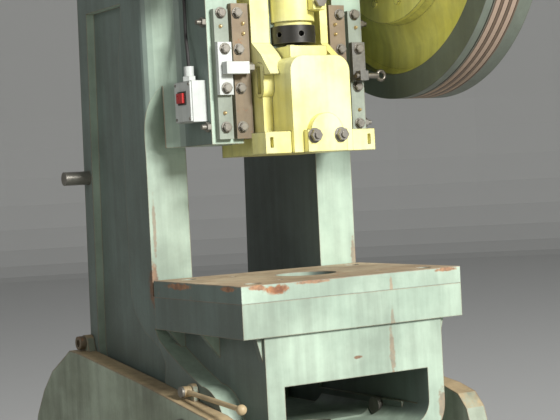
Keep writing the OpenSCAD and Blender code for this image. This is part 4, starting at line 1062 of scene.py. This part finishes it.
@dataclass
class MotorTrim(Pieces):
    """Fan guard and screws of the motor."""

    guard: Point = (-171, 790, 920)
    ring_radii: Sizes = (0.020, 0.038, 0.056, 0.074, 0.092)
    ring_wire: float = 0.0016
    half_ring: int = 24
    spoke_ends: Sizes = (0.018, 0.110)
    spoke_wire: float = 0.0018
    screw: Profile = ((TIP, 0.0), (0.005, 0.0), (0.005, 0.0022), (0.0038, 0.0032), (TIP, 0.0032))
    lid_x: Sizes = (-17, 67)
    lid_y: Sizes = (745, 835)
    lid_z: float = 1087.0
    foot_bolt: Profile = (
        (TIP, 0.0), (0.013, 0.0), (0.013, 0.002), (0.0095, 0.0021), (0.0095, 0.009), (0.0075, 0.0105),
        (TIP, 0.0105))
    foot_x: Sizes = (-110, 130)
    foot_y: Sizes = (685, 895)
    foot_z: float = 802.0

    def build(self) -> None:
        """Adds the trim."""
        centre = press(*self.guard)
        turns = [i * math.pi / self.half_ring for i in range(2 * self.half_ring + 1)]
        for i, r in enumerate(self.ring_radii):
            ring = [centre + Vector((0, r * math.cos(a), r * math.sin(a))) for a in turns]
            self.bar(ring, self.ring_wire, f"guard_ring_{i}", Palette.DARK, 8)
        for i in range(4):
            a = math.radians(45 + 90 * i)
            spoke = [centre + Vector((0, r * math.cos(a), r * math.sin(a))) for r in self.spoke_ends]
            self.bar(spoke, self.spoke_wire, f"guard_spoke_{i}", Palette.DARK, 8)
        lid = [(press(x, y, self.lid_z), UP) for x in self.lid_x for y in self.lid_y]
        self.scatter(lathe(self.screw, 20), lid, "lid_screws_motor", Palette.BOLT, turn=1.5, seed=5)
        feet = [(press(x, y, self.foot_z), UP) for x in self.foot_x for y in self.foot_y]
        self.scatter(lathe(self.foot_bolt, 6), feet, "motor_foot_bolts", Palette.BOLT, turn=1.0, seed=9)


@dataclass(frozen=True)
class LightRig:
    """Lights of the stage: a key from the front right, a fill and a soft sky."""

    target: Point = (0, 300, 200)
    key_place: Point = (1.7, -10.6, 5.8)
    key_size: float = 2.6
    key_power: float = 2350.0
    fill_place: Point = (-5.0, -1.5, 3.0)
    fill_size: float = 3.0
    fill_power: float = 60.0
    sky: float = 0.24
    sky_colour: Sizes = (0.93, 0.96, 1.0, 1.0)

    def area(self, name: str, place: Vector, target: Vector, size: float, power: float) -> None:
        """Adds a square area light.

        Args:
            name: The light's name.
            place: Where it hangs.
            target: The point it faces.
            size: Length of its side.
            power: Its power in watts.
        """
        light = bpy.data.lights.new(name, "AREA")
        light.size = size
        light.energy = power
        lamp = add_object(name, light)
        facing = (target - place).to_track_quat("-Z", "Y").to_matrix().to_4x4()
        lamp.matrix_world = Matrix.Translation(place) @ facing

    def build(self) -> None:
        """Makes the lights and the sky."""
        target = press(*self.target)
        self.area("key", Vector(self.key_place), target, self.key_size, self.key_power)
        self.area("fill", Vector(self.fill_place), target, self.fill_size, self.fill_power)
        world = bpy.data.worlds.new("sky")
        world.use_nodes = True
        back = world.node_tree.nodes["Background"]
        back.inputs[0].default_value = self.sky_colour
        back.inputs[1].default_value = self.sky
        bpy.context.scene.world = world


@dataclass(frozen=True)
class Stage:
    """Plain pale floor that rises into a round backdrop."""

    radius: float = 16.0
    cove: float = 2.0
    height: float = 9.0
    segments: int = 96
    centre: float = 0.02
    cove_steps: int = 8
    colour: Rgb = (178, 178, 175)
    roughness: float = 0.9

    def profile(self) -> list[tuple[float, float]]:
        """Radius and height of each ring.

        Returns:
            The rings from the floor's middle to the top of the wall.
        """
        flat = self.radius - self.cove
        rings = [(self.centre, 0.0), (flat, 0.0)]
        for i in range(1, self.cove_steps + 1):
            a = math.radians(i * 90 / self.cove_steps)
            rings.append((flat + self.cove * math.sin(a), self.cove * (1 - math.cos(a))))
        rings.append((self.radius, self.height))
        return rings

    def build(self) -> None:
        mesh = lathe(self.profile(), self.segments, closed=False)
        stage = add_object("stage", mesh)
        material = bpy.data.materials.new("pale_wall")
        material.use_nodes = True
        shader = material.node_tree.nodes["Principled BSDF"]
        shader.inputs["Base Color"].default_value = linear(self.colour)
        shader.inputs["Roughness"].default_value = self.roughness
        mesh.materials.append(material)


def lathe(rings: Sequence[tuple[float, float]], segments: int, closed: bool = True) -> Mesh:
    """Turns a profile of radius and height round the Z axis.

    Args:
        rings: Radius and height of each ring.
        segments: Number of steps round the axis.
        closed: Whether the last ring joins the first.

    Returns:
        The mesh.
    """
    turns = [2 * math.pi * k / segments for k in range(segments)]
    verts = [(r * math.cos(a), r * math.sin(a), z) for r, z in rings for a in turns]
    count = len(rings)
    faces = [(i * segments + k, i * segments + (k + 1) % segments,
              (i + 1) % count * segments + (k + 1) % segments, (i + 1) % count * segments + k)
             for i in range(count if closed else count - 1) for k in range(segments)]
    mesh = bpy.data.meshes.new("lathe")
    mesh.from_pydata(verts, [], faces)
    mesh.update()
    return mesh


@dataclass(frozen=True)
class CameraRig:
    """The photograph's camera, fitted to the press's measures."""

    lens: float = 95.24
    place: Point = (-1.91393, -3.36912, 1.05109)
    right: Point = (0.85272, -0.51969, -0.05283)
    up: Point = (0.05582, -0.00991, 0.99839)
    forward: Point = (0.51937, 0.85430, -0.02055)

    def build(self) -> None:
        """Makes the camera and makes it the scene's."""
        data = bpy.data.cameras.new("camera")
        data.lens = self.lens
        data.sensor_width = 36.0
        data.clip_end = 100.0
        camera = add_object("camera", data)
        axes = Matrix((self.right, self.up, [-c for c in self.forward])).transposed()
        camera.matrix_world = Matrix.Translation(self.place) @ axes.to_4x4()
        bpy.context.scene.camera = camera


def set_render() -> None:
    """Sets the renderer, the image size and the view transform."""
    scene = bpy.context.scene
    scene.render.engine = "CYCLES"
    scene.render.resolution_x, scene.render.resolution_y = 560, 420
    scene.view_settings.view_transform = "Standard"
    scene.view_settings.look = "None"


def main() -> None:
    """Builds the looks, the stage, the light and the camera."""
    set_render()
    Castings().dress()
    for unit in (Fasteners(), Threads(), Electrics(), Springs(), Oiling(), MotorTrim()):
        unit.build()
    Stage().build()
    LightRig().build()
    CameraRig().build()


if __name__ == "__main__":
    main()
